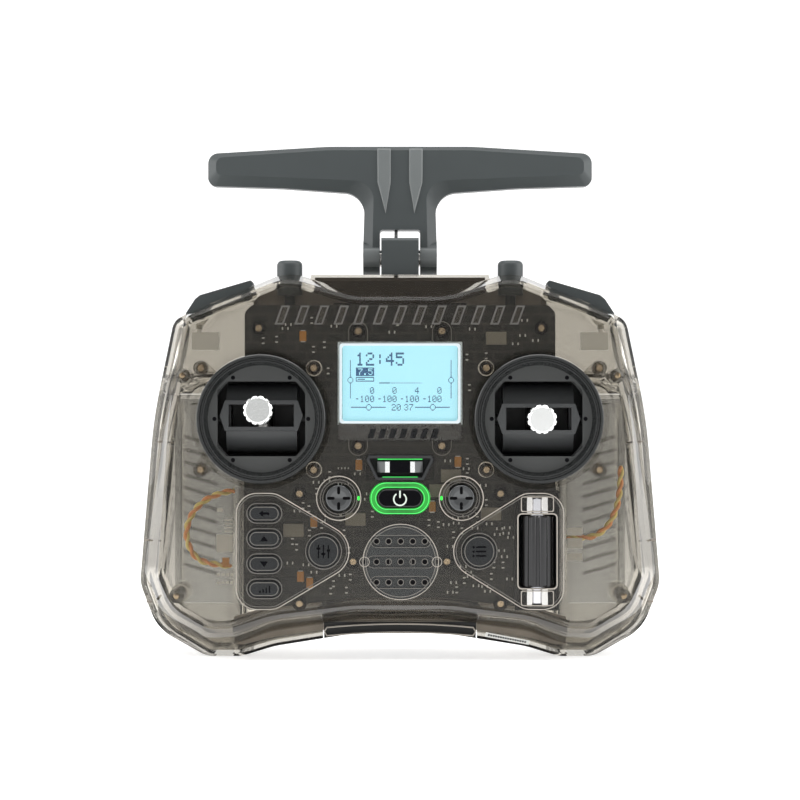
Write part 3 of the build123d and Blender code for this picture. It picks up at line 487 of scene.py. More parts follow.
def frames_along(points):
    """Each point of a route with two directions square to it, carried along without a twist."""
    side = None
    for i, point in enumerate(points):
        ahead = (points[min(i + 1, len(points) - 1)] - points[max(i - 1, 0)]).normalized()
        if side is None:
            side = ahead.orthogonal().normalized()
        side = (side - ahead * side.dot(ahead)).normalized()
        yield point, side, ahead.cross(side)


def spoke(side, across, turn):
    return side * math.cos(turn) + across * math.sin(turn)


def circle(x, z, radius, steps=32, start=0.0, sweep=360.0):
    """A circle, or an arc with both its ends."""
    count = steps if sweep >= 360 else steps + 1
    turns = [math.radians(start + sweep * i / steps) for i in range(count)]
    return [(x + radius * math.cos(t), z + radius * math.sin(t)) for t in turns]


def plain_box(x0, x1, z0, z1):
    return [(x0, z0), (x1, z0), (x1, z1), (x0, z1)]


def stadium(x, z, width, height, steps=12):
    """A rounded bar; its ends are half circles."""
    r, reach = height / 2, (width - height) / 2
    right = circle(x + reach, z, r, steps, -90, 180)
    left = circle(x - reach, z, r, steps, 90, 180)
    return right + left


def rounded_box(x0, x1, z0, z1, r, steps=6):
    corners = ((x1 - r, z0 + r), (x1 - r, z1 - r), (x0 + r, z1 - r), (x0 + r, z0 + r))
    return [p for i, (x, z) in enumerate(corners) for p in circle(x, z, r, steps, 90 * i - 90, 90)]


def centred_box(x, z, half_x, half_z, r, steps=6):
    return rounded_box(x - half_x, x + half_x, z - half_z, z + half_z, r, steps)


def arc_band(x, z, radius, width, start, sweep, steps=24):
    outer = circle(x, z, radius + width / 2, steps, start, sweep)
    inner = circle(x, z, radius - width / 2, steps, start, sweep)
    return outer + list(reversed(inner))


def around(circles, grow=0.0, steps=48):
    """The outline of a band stretched round several circles, each (x, z, radius)."""
    points = sorted(p for x, z, r in circles for p in circle(x, z, r + grow, steps))

    def half(ordered):
        chain = []
        for p in ordered:
            while len(chain) > 1 and ((chain[-1][0] - chain[-2][0]) * (p[1] - chain[-2][1])
                                      - (chain[-1][1] - chain[-2][1]) * (p[0] - chain[-2][0])) <= 0:
                chain.pop()
            chain.append(p)
        return chain[:-1]

    return half(points) + half(reversed(points))


def even(outline, count):
    """The same outline with evenly spaced points, starting at its rightmost one."""
    start = max(range(len(outline)), key=lambda i: (outline[i][0], -abs(outline[i][1])))
    loop = [Vector(p) for p in outline[start:] + outline[:start]]
    loop.append(loop[0])
    lengths = [(b - a).length for a, b in zip(loop, loop[1:])]
    step, made, i, passed = sum(lengths) / count, [], 0, 0.0
    for k in range(count):
        while passed + lengths[i] < k * step - 1e-9:
            passed += lengths[i]
            i += 1
        made.append(tuple(loop[i].lerp(loop[i + 1], (k * step - passed) / lengths[i])))
    return made


def band(build, outer, inner, front, back, count=160):
    """A closed band between any two outlines."""
    return build.ring(even(outer, count), even(inner, count), front, back)


def corners_of(node):
    """The low and high corners of a CAD node's box, in mm."""
    return [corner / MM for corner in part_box(node)]


def middle(node):
    low, high = corners_of(node)
    return (low + high) / 2


def turned(points, x, z, degrees):
    """The points turned about (x, z)."""
    cos, sin = math.cos(math.radians(degrees)), math.sin(math.radians(degrees))
    return [(x + (px - x) * cos - (pz - z) * sin, z + (px - x) * sin + (pz - z) * cos) for px, pz in points]


# ---------------------------------------------------------------- the materials themselves
def make_materials():
    """Every material by the short name that the pieces use. Colours are linear."""
    made = {
        "shell": smoke("smoke_shell", (0.76, 0.745, 0.712), (0.51, 0.49, 0.455), 0.022, (0.36, 0.34, 0.31)),
        "cover": smoke("smoke_cover", (0.72, 0.715, 0.70), (0.52, 0.505, 0.48), 0.022, (0.36, 0.34, 0.31)),
        "tray": smoke("tray_smoke", (0.76, 0.765, 0.765), (0.58, 0.575, 0.56), 0.055, (0.42, 0.41, 0.39)),
        "lug": smoke("housing_lug_smoke", (0.90, 0.89, 0.875), (0.66, 0.64, 0.61), 0.05, (0.30, 0.29, 0.27)),
        "lens": smoke("lens_clear", (0.97, 0.975, 0.98), (0.85, 0.86, 0.87), 0.01, (0.6, 0.6, 0.6)),
        "grille": smoke("grille_smoke", (0.42, 0.42, 0.41), (0.25, 0.25, 0.24), 0.32, (0.11, 0.115, 0.115),
                        0.12),
        "mask": smoke("lens_mask_smoke", (0.70, 0.68, 0.66), (0.45, 0.43, 0.41), 0.32, (0.20, 0.185, 0.165)),
        "boss_shade": smoke("boss_shade_smoke", (0.45, 0.43, 0.41), (0.25, 0.24, 0.22), 0.18, (0.07, 0.065, 0.06)),
        "key": smoke("key_smoke", (0.34, 0.34, 0.335), (0.20, 0.20, 0.19), 0.42, (0.040, 0.043, 0.045), 0.12),
        "antenna_black": plastic("antenna_black", (0.040, 0.047, 0.048), 0.46, 0.35, grain=5200, depth=0.012),
        "fin": plastic("antenna_fin", (0.115, 0.125, 0.125), 0.40, 0.4, grain=5200, depth=0.012),
        "satin": plastic("satin_black", (0.022, 0.023, 0.024), 0.42, 0.3, grain=4800, depth=0.010),
        "housing_black": plastic("housing_black", (0.044, 0.046, 0.045), 0.40, 0.35, grain=4800, depth=0.010),
        "drum": plastic("drum_black", (0.045, 0.047, 0.048), 0.40, 0.3, grain=4200, depth=0.008),
        "bezel": plastic("bezel_black", (0.014, 0.015, 0.015), 0.26, 0.4, grain=3800, depth=0.004),
        "gloss": plastic("gloss_black", (0.004, 0.004, 0.005), 0.09, 0.45, grain=900),
        "ink": plastic("gloss_ink", (0.002, 0.002, 0.003), 0.20, 0.05, grain=900),
        "rubber_black": plastic("rubber_black", (0.010, 0.010, 0.010), 0.5, 0.3, grain=3000, depth=0.01),
        # The next three are painted edge highlights: pale lines that stand in for the light caught on clear
        # plastic edges.
        "edge_highlight": plastic("painted_edge_highlight", (0.34, 0.31, 0.27), 0.25, 0.6, grain=1500, mottle=0.25),
        "edge_highlight_faint": plastic("edge_highlight_faint", (0.075, 0.070, 0.064), 0.35, 0.4, grain=1500, mottle=0.25),
        "edge_highlight_dim": plastic("edge_highlight_dim", (0.13, 0.12, 0.105), 0.30, 0.6, grain=1500, mottle=0.25),
        "shade_foot": plastic("inner_shade_foot", (0.36, 0.325, 0.285), 0.6, 0.2, grain=900, mottle=0.35),
        "shade": plastic("inner_shade_brown", (0.26, 0.23, 0.20), 0.6, 0.2, grain=900, mottle=0.35),
        "shade_pale": plastic("inner_shade_pale", (0.075, 0.062, 0.050), 0.6, 0.2, grain=900, mottle=0.3),
        "silver": plastic("bright_silver", (0.77, 0.78, 0.77), 0.26, metallic=0.9, grain=6000, mottle=0.02),
        "steel": plastic("bright_steel", (0.58, 0.57, 0.55), 0.26, metallic=1.0, grain=5000, mottle=0.04),
        "brass": plastic("turned_brass", (0.74, 0.60, 0.44), 0.24, metallic=1.0, grain=5000, mottle=0.05),
        "chrome": plastic("dark_chrome", (0.50, 0.50, 0.52), 0.12, metallic=1.0, grain=2000, mottle=0.03),
        "pad": plastic("pad_dark_silver", (0.075, 0.078, 0.080), 0.16, metallic=0.6, grain=3000, mottle=0.08),
        "board": board_finish("black_board"),
        "chip": plastic("chip_black", (0.020, 0.020, 0.022), 0.45, 0.4, grain=9000, depth=0.01),
        "solder": plastic("tinned", (0.72, 0.72, 0.70), 0.32, metallic=1.0, grain=8000),
        "ivory": plastic("ivory_nylon", (0.36, 0.34, 0.29), 0.5, 0.4, grain=3000),
        "tantalum": plastic("tantalum_orange", (0.72, 0.32, 0.06), 0.45, 0.4, grain=3000),
        "wire_orange": plastic("wire_orange", (0.90, 0.40, 0.16), 0.42, 0.4, grain=2500),
        "wire_yellow": plastic("wire_yellow", (0.92, 0.76, 0.28), 0.42, 0.4, grain=2500),
        "wire_red": plastic("wire_red", (0.62, 0.03, 0.02), 0.42, 0.4, grain=2500),
        "wire_black": plastic("wire_black", (0.02, 0.02, 0.02), 0.45, 0.4, grain=2500),
        "green": ring_glow("green_light", (0.03, 0.80, 0.07)),
        "green_line": plastic("green_line", (0.04, 0.5, 0.08), 0.3, 0.4, glow=0.75,
                              glow_colour=(0.05, 0.75, 0.12)),
        "green_point": plastic("green_point", (0.02, 0.7, 0.05), 0.3, 0.4, glow=2.2,
                               glow_colour=(0.02, 0.9, 0.06)),
        "screen": plastic("screen_backlit", (0.42, 0.68, 0.74), 0.35, 0.2, grain=1600, mottle=0.03, glow=0.46,
                          glow_colour=(0.36, 0.78, 0.86)),
        "screen_dark": plastic("screen_segment", (0.01, 0.05, 0.16), 0.5, 0.1, glow=0.12,
                               glow_colour=(0.01, 0.12, 0.42)),
        "frame_white": plastic("screen_frame", (0.80, 0.84, 0.86), 0.25, 0.5, grain=2000, glow=0.25,
                               glow_colour=(0.75, 0.92, 1.0)),
        "icon_pale": plastic("icon_pale", (0.55, 0.60, 0.55), 0.45, 0.4, grain=4000, glow=0.10,
                             glow_colour=(0.5, 0.9, 0.6)),
        "label": plastic("label_white", (0.80, 0.80, 0.77), 0.7, 0.2, grain=5000),
        "cone": plastic("speaker_cone", (0.03, 0.03, 0.032), 0.55, 0.3, grain=3800, depth=0.02),
        "rubber": plastic("key_core_grey", (0.060, 0.063, 0.066), 0.5, 0.3, grain=4200, depth=0.01),
        # The side chips glow with painted light, to look lit behind the clear wings.
        "pale_chip_painted_glow": plastic("side_chip_painted_glow", (0.62, 0.61, 0.58), 0.5, 0.3, grain=4200, glow=0.16,
                             glow_colour=(0.9, 0.88, 0.82)),
        # Pale nylon with a painted glow, to look lit behind the clear wings.
        "pale_nylon_painted_glow": plastic("pale_nylon_painted_glow", (0.55, 0.54, 0.50), 0.4, 0.4, grain=3000, glow=0.26,
                              glow_colour=(0.9, 0.88, 0.82)),
        # Grey that paints the lit side walls of the strap pocket onto the bar's outer ends.
        "bar_lit_wall": plastic("bar_painted_lit_wall_grey", (0.14, 0.145, 0.145), 0.3, 0.5, grain=3000, metallic=0.5),
    }
    made["roller"] = masked("roller_surface", made["gloss"], made["chrome"], between("Z", 22.0, 43.2))
    # Switch bodies beyond 50 mm out, seen through the wings, take the pale nylon with its painted glow.
    made["switch"] = masked("switch_surface", made["satin"], made["pale_nylon_painted_glow"], between("X", -50, 50))
    made["housing"] = masked("gimbal_housing", made["housing_black"], made["lug"], within(41.1, 71.7, 18.45))
    made["antenna"] = masked("antenna_surface", made["fin"], made["antenna_black"], between("Y", 13.5, 14.4))
    # The strap bar: black in the middle, silver beside it, and painted lit-wall grey on its outer ends.
    bar_silver = masked("bar_silver", made["silver"], made["bar_lit_wall"], between("X", -4.4, 4.4))
    made["bar"] = masked("bar_surface", made["ink"], bar_silver, between("X", -3.05, 3.05))
    return made


CAD_FINISH = {
    "shell": ["front_shell", "rear_shell"],
    "cover": ["left_battery_door", "right_battery_door"],
    "rubber_black": ["port_cover"],
    "tray": ["battery_trays"],
    "key": ["return_key", "page_next_key", "page_back_key", "telemetry_key", "system_key", "model_key"],
    "grille": ["speaker_grille"],
    "antenna": ["antenna"],
    "antenna_black": ["antenna_bracket", "left_toggle", "right_toggle", "left_shoulder_button",
                      "right_shoulder_button", "module_cover", "side_dial", "momentary_button"],
    "satin": ["strap_cup", "left_stick_bail", "right_stick_bail", "roller_carriage", "left_trim_carrier",
              "right_trim_carrier"],
    "housing": ["left_gimbal_frame", "right_gimbal_frame"],
    "switch": ["switch_bodies"],
    "drum": ["left_stick_drum", "right_stick_drum"],
    "bezel": ["left_gimbal_bezel", "right_gimbal_bezel"],
    "gloss": ["power_key"],
    "roller": ["roller"],
    "green": ["power_light_ring"],
    "screen": ["lcd_panel"],
    "frame_white": ["lcd_frame"],
    "lens": ["lcd_lens"],
    "board": ["main_board", "radio_board"],
    "chip": ["board_parts"],
    "silver": ["left_stick_end", "right_stick_end"],
    "pad": ["left_trim_pad", "right_trim_pad"],
    "steel": ["left_stick_shaft", "right_stick_shaft", "antenna_pin", "bottom_ports", "contacts",
              "gimbal_springs"],
    "wire_black": ["antenna_coax", "wiring"],
    "brass": ["screws"],
    "bar": ["strap_bar"],
    "cone": ["speaker_driver"],
}


def dress_cad():
    """Gives every CAD node its material."""
    for finish, names in CAD_FINISH.items():
        for name in names:
            data = NODES[name].data
            data.materials.clear()
            data.materials.append(PAINT[finish])


# ---------------------------------------------------------------- the screen
DIGITS = {
    "0": "01110 10001 10011 10101 11001 10001 01110", "1": "00100 01100 00100 00100 00100 00100 01110",
    "2": "01110 10001 00001 00110 01000 10000 11111", "3": "01110 10001 00001 00110 00001 10001 01110",
    "4": "00010 00110 01010 10010 11111 00010 00010", "5": "11111 10000 11110 00001 00001 10001 01110",
    "7": "11111 00001 00010 00100 01000 01000 01000", "8": "01110 10001 10001 01110 10001 10001 01110",
    ":": "00000 00100 00100 00000 00100 00100 00000", "-": "00000 00000 00000 01110 00000 00000 00000",
    ".": "00000 00000 00000 00000 00000 01100 01100",
}
SCREEN_COLUMNS, SCREEN_ROWS = 128, 64
DOT_X, DOT_Z = 0.2465, 0.277
SCREEN_LEFT, SCREEN_TOP = -15.55, 91.9


class Display:
    """A dot screen: every drawing call lights whole dots, counted from the top left."""

    def __init__(self):
        self.lit = set()

    def bar(self, x, y, width, height):
        self.lit |= {(x + i, y + j) for i in range(width) for j in range(height)}

    def clear(self, x, y, width, height):
        self.lit -= {(x + i, y + j) for i in range(width) for j in range(height)}

    def box(self, x, y, width, height):
        self.bar(x, y, width, height)
        self.clear(x + 1, y + 1, width - 2, height - 2)

    def text(self, x, y, words, wide=1, tall=1, inverse=False):
        for letter in words:
            for j, row in enumerate(DIGITS[letter].split()):
                for i, dot in enumerate(row):
                    if dot == "1":
                        draw = self.clear if inverse else self.bar
                        draw(x + i * wide, y + j * tall, wide, tall)
            x += 6 * wide

    def ring(self, x, y, radius):
        for i in range(-radius, radius + 1):
            for j in range(-radius, radius + 1):
                far = math.hypot(i, j)
                if far <= radius + 0.4:
                    self.lit.discard((x + i, y + j))
                if radius - 0.6 <= far <= radius + 0.4:
                    self.lit.add((x + i, y + j))

    def rows(self):
        """Each unbroken run of lit dots, as (row, first column, last column)."""
        for y in range(SCREEN_ROWS):
            x = 0
            while x < SCREEN_COLUMNS:
                if (x, y) in self.lit:
                    end = x
                    while (end + 1, y) in self.lit:
                        end += 1
                    yield y, x, end
                    x = end
                x += 1


def draw_screen():
    """A plain main page: clock, voltage, four values, trims and two bars, in dots from the top left."""
    display = Display()
    display.text(10, 2, "12:45", 2, 2)
    display.bar(10, 18, 22, 9)
    display.text(13, 19, "7.5", inverse=True)
    display.box(10, 28, 22, 5)
    display.bar(12, 30, 9, 1)
    display.bar(38, 34, 13, 1)
    display.lit |= {(52 + 2 * i, 34) for i in range(19)}
    for x, value in ((21, "0"), (48, "0"), (75, "4"), (102, "0")):
        display.text(x + 6, 39, value)
        display.text(x - 12, 48, "-100")
    for x in (3, 124):
        display.bar(x, 10, 1, 41)
        display.ring(x, 31, 3)
    for x in (4, 81):
        display.bar(x, 60, 42, 1)
        display.ring(x + 21, 60, 3)
    display.text(53, 57, "20")
    display.text(68, 57, "37")
    return display


def add_screen():
    """The lit dots on the screen's panel."""
    front = corners_of("lcd_panel")[0].y
    build, gap = Build(), 0.02
    for y, first, last in draw_screen().rows():
        x0, x1 = SCREEN_LEFT + first * DOT_X, SCREEN_LEFT + (last + 1) * DOT_X
        z1 = SCREEN_TOP - y * DOT_Z
        build.box(x0 + gap, x1 - gap, front - 0.06, front - 0.005, z1 - DOT_Z + gap, z1 - gap)
    build.piece("screen_dots", "screen_dark", "screen", smooth=False)


def add_lens_parts():
    """The mask, the row of slanted bars and the pale window frame behind the clear lens."""
    low, high = corners_of("lcd_lens")
    behind, edge, mask_top = low.y + 1.55, 0.15, 70.6
    strip = Build().prism(rounded_box(low.x + edge, high.x - edge, low.z + edge, mask_top, 0.5), behind,
                          behind + 0.12)
    strip.piece("lens_lower_mask", "mask", "smoke_shell", bevel=0.03)
    slashes, foot, head = Build(), 66.0, 68.8
    for i in range(7):
        x = -9.6 + 3.1 * i
        slashes.prism([(x, foot), (x + 1.7, foot), (x + 2.6, head), (x + 0.9, head)], behind - 0.35,
                      behind - 0.02)
    slashes.piece("lens_slashes", "ink", "black_gloss", bevel=0.08)
    outer, inner = rounded_box(-17.9, 17.9, 70.35, 94.05, 0.9), rounded_box(-17.15, 17.15, 71.1, 93.35, 1.0)
    border = Build().ring(outer, inner, behind - 0.1, behind + 0.25)
    border.piece("lens_window_frame", "frame_white", "screen_frame", bevel=0.05)


# ---------------------------------------------------------------- keys and small marks on the front
def icon_outlines(kind):
    """Outlines of a plain symbol about two units wide: an arrow, growing levels, a list or sliders."""
    if kind == "back":
        return [[(-1, 0), (-0.2, -0.62), (-0.2, 0.62)], plain_box(-0.2, 1, -0.2, 0.2)]
    if kind == "up":
        return [[(-0.8, -0.5), (0.8, -0.5), (0, 0.6)]]
    if kind == "down":
        return [[(0.8, 0.5), (-0.8, 0.5), (0, -0.6)]]
    if kind == "levels":
        return [plain_box((i - 1.5) * 0.62, (i - 1.1) * 0.62, -0.7, 0.3 * i - 0.3) for i in range(4)]
    if kind == "list":
        row = ((-0.8, 0.15, 0.14), (0.25, 0.7, 0.12))
        return [centred_box(x, 0.62 * i, wide, tall, 0.05, 2) for i in (-1, 0, 1) for x, wide, tall in row]
    made = []
    for i, knob in zip((-1, 0, 1), (0.4, -0.35, 0.15)):
        x = 0.7 * i
        made += [centred_box(x, 0, 0.08, 0.95, 0.05, 2), centred_box(x, knob, 0.26, 0.14, 0.06, 2)]
    return made


KEY_ICONS = {"return_key": ("back", 1.5), "page_next_key": ("up", 1.5), "page_back_key": ("down", 1.5),
             "telemetry_key": ("levels", 1.5), "system_key": ("sliders", 2.1), "model_key": ("list", 2.1)}
ROUND_KEYS = ("system_key", "model_key")


def add_key_icons():
    """The symbol on each key, and the grey core that shows through its clear cap."""
    for node, (kind, size) in KEY_ICONS.items():
        place, front = middle(node), corners_of(node)[0].y
        icon, core = Build(), Build()
        for outline in icon_outlines(kind):
            drawn = [(place.x + x * size, place.z + z * size) for x, z in outline]
            icon.prism(drawn, front - 0.05, front + 0.12)
        icon.piece(node + "_icon", "ink", "black_gloss", body=node + "_body", bevel=0.03)
        core_front, core_back = front + 0.75, front + 2.6
        if node in ROUND_KEYS:
            profile = [(0, core_front), (4.1, core_front), (4.35, core_front + 0.25), (4.35, core_back),
                       (0, core_back)]
            core.revolve(place.x, place.z, profile, 48)
        else:
            core.prism(stadium(place.x, place.z, 8.3, 3.9), core_front, core_back)
        core.piece(node + "_core", "rubber", "black_satin", body=node + "_body", bevel=0.15)


def add_key_rims():
    """Painted highlights and shade round each key: a pale line inside its edge and a pale lip round it are
    painted highlights, and a black band in the gap round it is painted shade.
    """
    half = 4.8

    def edge(node, inset):
        x, z = middle(node).xz
        if node in ROUND_KEYS:
            return circle(x, z, half - inset, 64)
        return stadium(x, z, 9.4 - 2 * inset, half - 2 * inset, 16)

    for node in KEY_ICONS:
        front = corners_of(node)[0].y
        line = band(Build(), edge(node, 0.42), edge(node, 0.62), front - 0.10, front + 0.1, 120)
        line.piece(node + "_edge_line", "edge_highlight_dim", "black_gloss", body=node + "_body")
        # The gap band is black painted shade; the lip is a pale painted highlight.
        for name, finish, outer, inner, top in (("gap", "rubber_black", -0.2, -0.02, 0.9),
                                                ("lip", "edge_highlight_dim", -0.62, -0.36, 0.28)):
            trim = band(Build(), edge(node, outer), edge(node, inner), FACE_Y + top, FACE_Y + 0.95, 120)
            trim.piece(f"{node}_{name}", finish, "smoke_shell")


def pad_circles(s, tip_x):
    """The circles that a sunk key pad is stretched round: four at its corners and one at its inner tip."""
    top, foot, r = 43.7, 21.5, 5.9
    far, near = s * 42.3, s * 38.4
    return [(far, top, r), (near, top, r), (tip_x, KEY_Z, 7.4), (near, foot, r), (far, foot, r)]


def add_pad_rims():
    """Painted highlights on the edges of the two sunk key pads: a bright lip outside and a fainter line at
    its foot.
    """
    for (side, s), tip_x in zip(SIDES, KEY_X):
        pad = pad_circles(s, tip_x)
        lip = band(Build(), around(pad, 0.28), around(pad, 0.0), FACE_Y - 0.10, FACE_Y + 0.2)
        foot = band(Build(), around(pad, -0.45), around(pad, -0.68), FACE_Y + 0.42, FACE_Y + 0.58)
        lip.piece(side + "_pad_lip", "edge_highlight", "smoke_shell", bevel=0.05)
        foot.piece(side + "_pad_foot", "edge_highlight_dim", "smoke_shell", bevel=0.03)


def add_trim_rims():
    """Pale rings round each trim pad, painted edge highlights, and the dark gloss filling of its cross."""
    rings = (("outer", "edge_highlight", 6.5, 0.32, -0.36), ("sunk", "edge_highlight_dim", 5.45, 0.3, 0.2),
             ("inner", "edge_highlight_dim", 4.72, 0.22, 0.35))
    for side, _ in SIDES:
        x, z = middle(side + "_trim_pad").xz
        for name, finish, radius, width, top in rings:
            ring = Build().hoop(x, z, radius + width / 2, radius - width / 2, FACE_Y + top, FACE_Y + 0.62, 64)
            ring.piece(f"{side}_trim_{name}_ring", finish, "smoke_shell", bevel=0.05)
        cross, arm = Build(), stadium(x + 2.3, z, 2.25, 0.85, 8)
        for turn in range(4):
            cross.prism(turned(arm, x, z, 90 * turn), FACE_Y + 0.02, FACE_Y + 0.28)
        cross.piece(side + "_trim_cross", "ink", "black_gloss", body=side + "_trim")


def add_grille_rims():
    """Painted highlights on the speaker grille: pale rims on its edge, its three long recesses and every
    hole, and pale rings on the cone behind; black discs paint the shade in the holes.
    """
    x, z = middle("speaker_grille").xz
    bright, dim, dark, cone = Build(), Build(), Build(), Build()
    for radius, build in ((11.25, bright), (10.45, dim)):
        build.hoop(x, z, radius, radius - 0.22, FACE_Y - 0.22, FACE_Y, 96)
    for row in (-1, 0, 1):
        level, width, height = z + 6.05 * row, 17.6 if row else 19.6, 3.4
        outer = stadium(x, level, width + 0.3, height + 0.3, 16)
        band(dim, outer, stadium(x, level, width, height, 16), FACE_Y - 0.2, FACE_Y, 120)
        for i in range(5):
            hole = x + (i - 2) * 3.56
            dim.hoop(hole, level, 0.98, 0.76, FACE_Y + 0.18, FACE_Y + 0.36, 20)
            # Black discs that paint the shade inside each hole.
            dark.prism(circle(hole, level, 0.74, 20), FACE_Y + 0.5, FACE_Y + 0.9)
    for s in (1, -1):
        ear = [(x + s * 10.7, z, 1.35)]
        band(bright, around(ear, 0.18), around(ear, 0), FACE_Y - 0.24, FACE_Y, 40)
        dark.prism(circle(x + s * 10.7, z, 0.6, 20), FACE_Y - 0.2, FACE_Y)
    for radius in (3.3, 4.4):
        cone.hoop(x, z, radius, radius - 0.2, FACE_Y + 0.45, FACE_Y + 0.6, 64)
    cone.piece("speaker_cone_rings", "edge_highlight_dim", "black_satin")
    bright.piece("grille_edge", "edge_highlight", "smoke_shell")
    dim.piece("grille_rims", "edge_highlight_dim", "smoke_shell")
    dark.piece("grille_hole_shade", "ink", "black_gloss")


def add_power_mark():
    """The power key's black face and its ring-and-bar symbol."""
    (x, z), front = middle("power_key").xz, corners_of("power_key")[0].y
    cap = Build().prism(stadium(x, z, 12.5, 4.6, 20), front - 0.02, front + 0.3)
    cap.piece("power_face", "ink", "smoke_key", body="power_button", bevel=0.1)
    symbol, bar = Build(), rounded_box(x - 0.23, x + 0.23, z + 0.1, z + 2.3, 0.2)
    for outline in (arc_band(x, z - 0.25, 1.85, 0.42, 125, 290), bar):
        symbol.prism(outline, front - 0.09, front + 0.1)
    symbol.piece("power_symbol", "icon_pale", "smoke_key", body="power_button", bevel=0.04)


def add_gimbal_marks():
    """Black discs on the plate round each stick, painted shade where its small screw holes are."""
    build, plate_y = Build(), -12.3
    for side, _ in SIDES:
        x, z = middle(side + "_gimbal_bezel").xz
        for dx, dz in ((-13.9, 0), (13.9, 0), (-8.4, 12.2), (8.4, 12.2), (-8.4, -12.2), (8.4, -12.2)):
            build.prism(circle(x + dx, z + dz, 0.62, 20), plate_y - 0.16, plate_y)
    build.piece("gimbal_plate_hole_shade", "ink", "black_gloss")


def add_case_marks():
    """Slanted bars moulded into the top of the front, their edges in faint painted highlight."""
    edges, fills = Build(), Build()
    for i in range(13):
        x = -37.0 + 5.78 * i
        outer = [(x, 99.6), (x + 2.6, 99.6), (x + 4.6, 105.2), (x + 2.0, 105.2)]
        inner = [(x + 0.75, 100.1), (x + 2.25, 100.1), (x + 3.9, 104.7), (x + 2.35, 104.7)]
        edges.ring(outer, inner, FACE_Y - 0.12, FACE_Y + 0.3)
        fills.prism(inner, FACE_Y + 0.05, FACE_Y + 0.35)
    fills.piece("case_bar_fills", "mask", "smoke_key", bevel=0.05)
    edges.piece("case_slanted_bars", "edge_highlight_faint", "smoke_shell", bevel=0.08)


def add_post_tabs():
    """Painted highlights on the thin arched edges round the four posts beside the screen."""
    tabs, radius, keep = Build(), 2.9, 0.92
    for x, z, up in ((-12.4, 97.7, 1), (12.4, 97.7, 1), (-12.4, 63.7, -1), (12.4, 63.7, -1)):
        end = circle(x, z, radius, 16, 0 if up > 0 else 180, 180)
        foot = z - up * radius
        outer = [(end[0][0], foot)] + end + [(end[-1][0], foot)]
        inner = [(x + (px - x) * keep, z + (pz - z) * (keep if pz != foot else 1)) for px, pz in outer]
        tabs.prism(outer + list(reversed(inner)), FACE_Y + 1.5, FACE_Y + 1.9)
    tabs.piece("screen_post_tabs", "edge_highlight_dim", "smoke_shell")


def mirrored(points):
    """A closed outline from its right half; points on the middle line are kept once."""
    return points + [(-x, z) for x, z in reversed(points) if x]


def add_shades():
    """Sheets of painted shade inside the case: under its top, behind the antenna's foot and at the bottom."""
    top = [(44.5, 99.0), (44.5, 107.2), (41.0, 110.6), (34.0, 112.6), (27.0, 111.4), (14.0, 107.4),
           (0, 107.0)]
    foot = [(26.6, 105.0), (25.9, 114.6)]
    bottom = [(0, 9.3), (14, 9.2), (38, 5.8), (47, 3.6), (50, 3.6), (50, 12), (38, 15.5), (27, 17.5),
              (14, 19), (0, 19)]
    for name, finish, right_half, front, back in (("top_painted_shade", "shade", top, 6.9, 7.3),
                                                  ("antenna_foot_painted_shade", "shade_pale", foot, 9.0, 9.6),
                                                  ("bottom_painted_shade", "shade_foot", bottom, 1.2, 1.6)):
        Build().prism(mirrored(right_half), front, back).piece(name, finish, "black_satin", bevel=0.1)


def add_roller_tub():
    """The dark well that the roller sits in, with painted highlights on its clear frame and on the case's
    window edge round it.
    """
    x, z = middle("roller").xz
    tub, lines, glints = Build(), Build(), Build()
    tub.block(x, z, 13.2, 35.2, -3.6, -3.0)
    lines.ring(centred_box(x, z, 5.95, 11.25, 1.3), centred_box(x, z, 5.6, 10.9, 1.1), FACE_Y - 0.12,
               FACE_Y + 1.4)
    for s in (1, -1):
        tub.block(x + s * 6.3, z, 0.6, 35.2, -13.4, -3.2)
        tub.block(x, z + s * 17.3, 12.4, 0.6, -13.4, -3.2)
        end_z = z + s * 13.9
        lines.ring(centred_box(x, end_z, 4.9, 2.3, 0.6), centred_box(x, end_z, 4.6, 2.0, 0.5), FACE_Y + 0.35,
                   FACE_Y + 1.2)
        for middle_x, width in ((x - 2.35, 1.7), (x + 2.25, 1.9)):
            glints.block(middle_x, z + s * 13.6, width, 5.6, -14.9, -13.9)
    tub.piece("roller_tub", "rubber_black", "black_satin", bevel=0.1)
    lines.piece("roller_window_edge", "edge_highlight", "smoke_shell", bevel=0.08)
    glints.piece("roller_end_glints", "steel", "silver", body="roller_cradle", bevel=0.2)


def add_port_rim():
    """The sealing lip round the bottom port cover, pale with a painted highlight."""
    def level(x):
        return 9.9 - 0.0022 * x * x

    upper = [(x, -0.25, level(x)) for x in range(-22, 23, 2)]
    lower = [(x, 1.15, level(x) - 2.6) for x in range(22, -23, -2)]
    end_z = level(22) - 1.3
    loop = upper + [(22.8, 0.4, end_z)] + lower + [(-22.8, 0.4, end_z)] + upper[:1]
    Build().tube(loop, 0.24, 8).piece("port_cover_bead", "edge_highlight", "smoke_shell", body="port_flap")


def add_label():
    """The small pale label under the case, with plain bars for its lines."""
    corners = [Vector((25.9, 1.02, 7.3)), Vector((39.2, 1.25, 4.7)), Vector((38.9, 1.85, 3.4)),
               Vector((25.6, 1.75, 5.9))]
    Build().slab3(corners, 0.12).piece("rating_label", "label", "smoke_shell")

    def on_label(along, down):
        near, far = corners[0].lerp(corners[1], along), corners[3].lerp(corners[2], along)
        return near.lerp(far, down) + Vector((0, -0.13, 0))

    bars = Build()
    for i in range(16):
        start, end = 0.06 + 0.055 * i, 0.096 + 0.055 * i
        bars.slab3([on_label(start, 0.3), on_label(end, 0.3), on_label(end, 0.7), on_label(start, 0.7)], 0.03)
    bars.piece("rating_label_bars", "ink", "black_gloss", smooth=False)


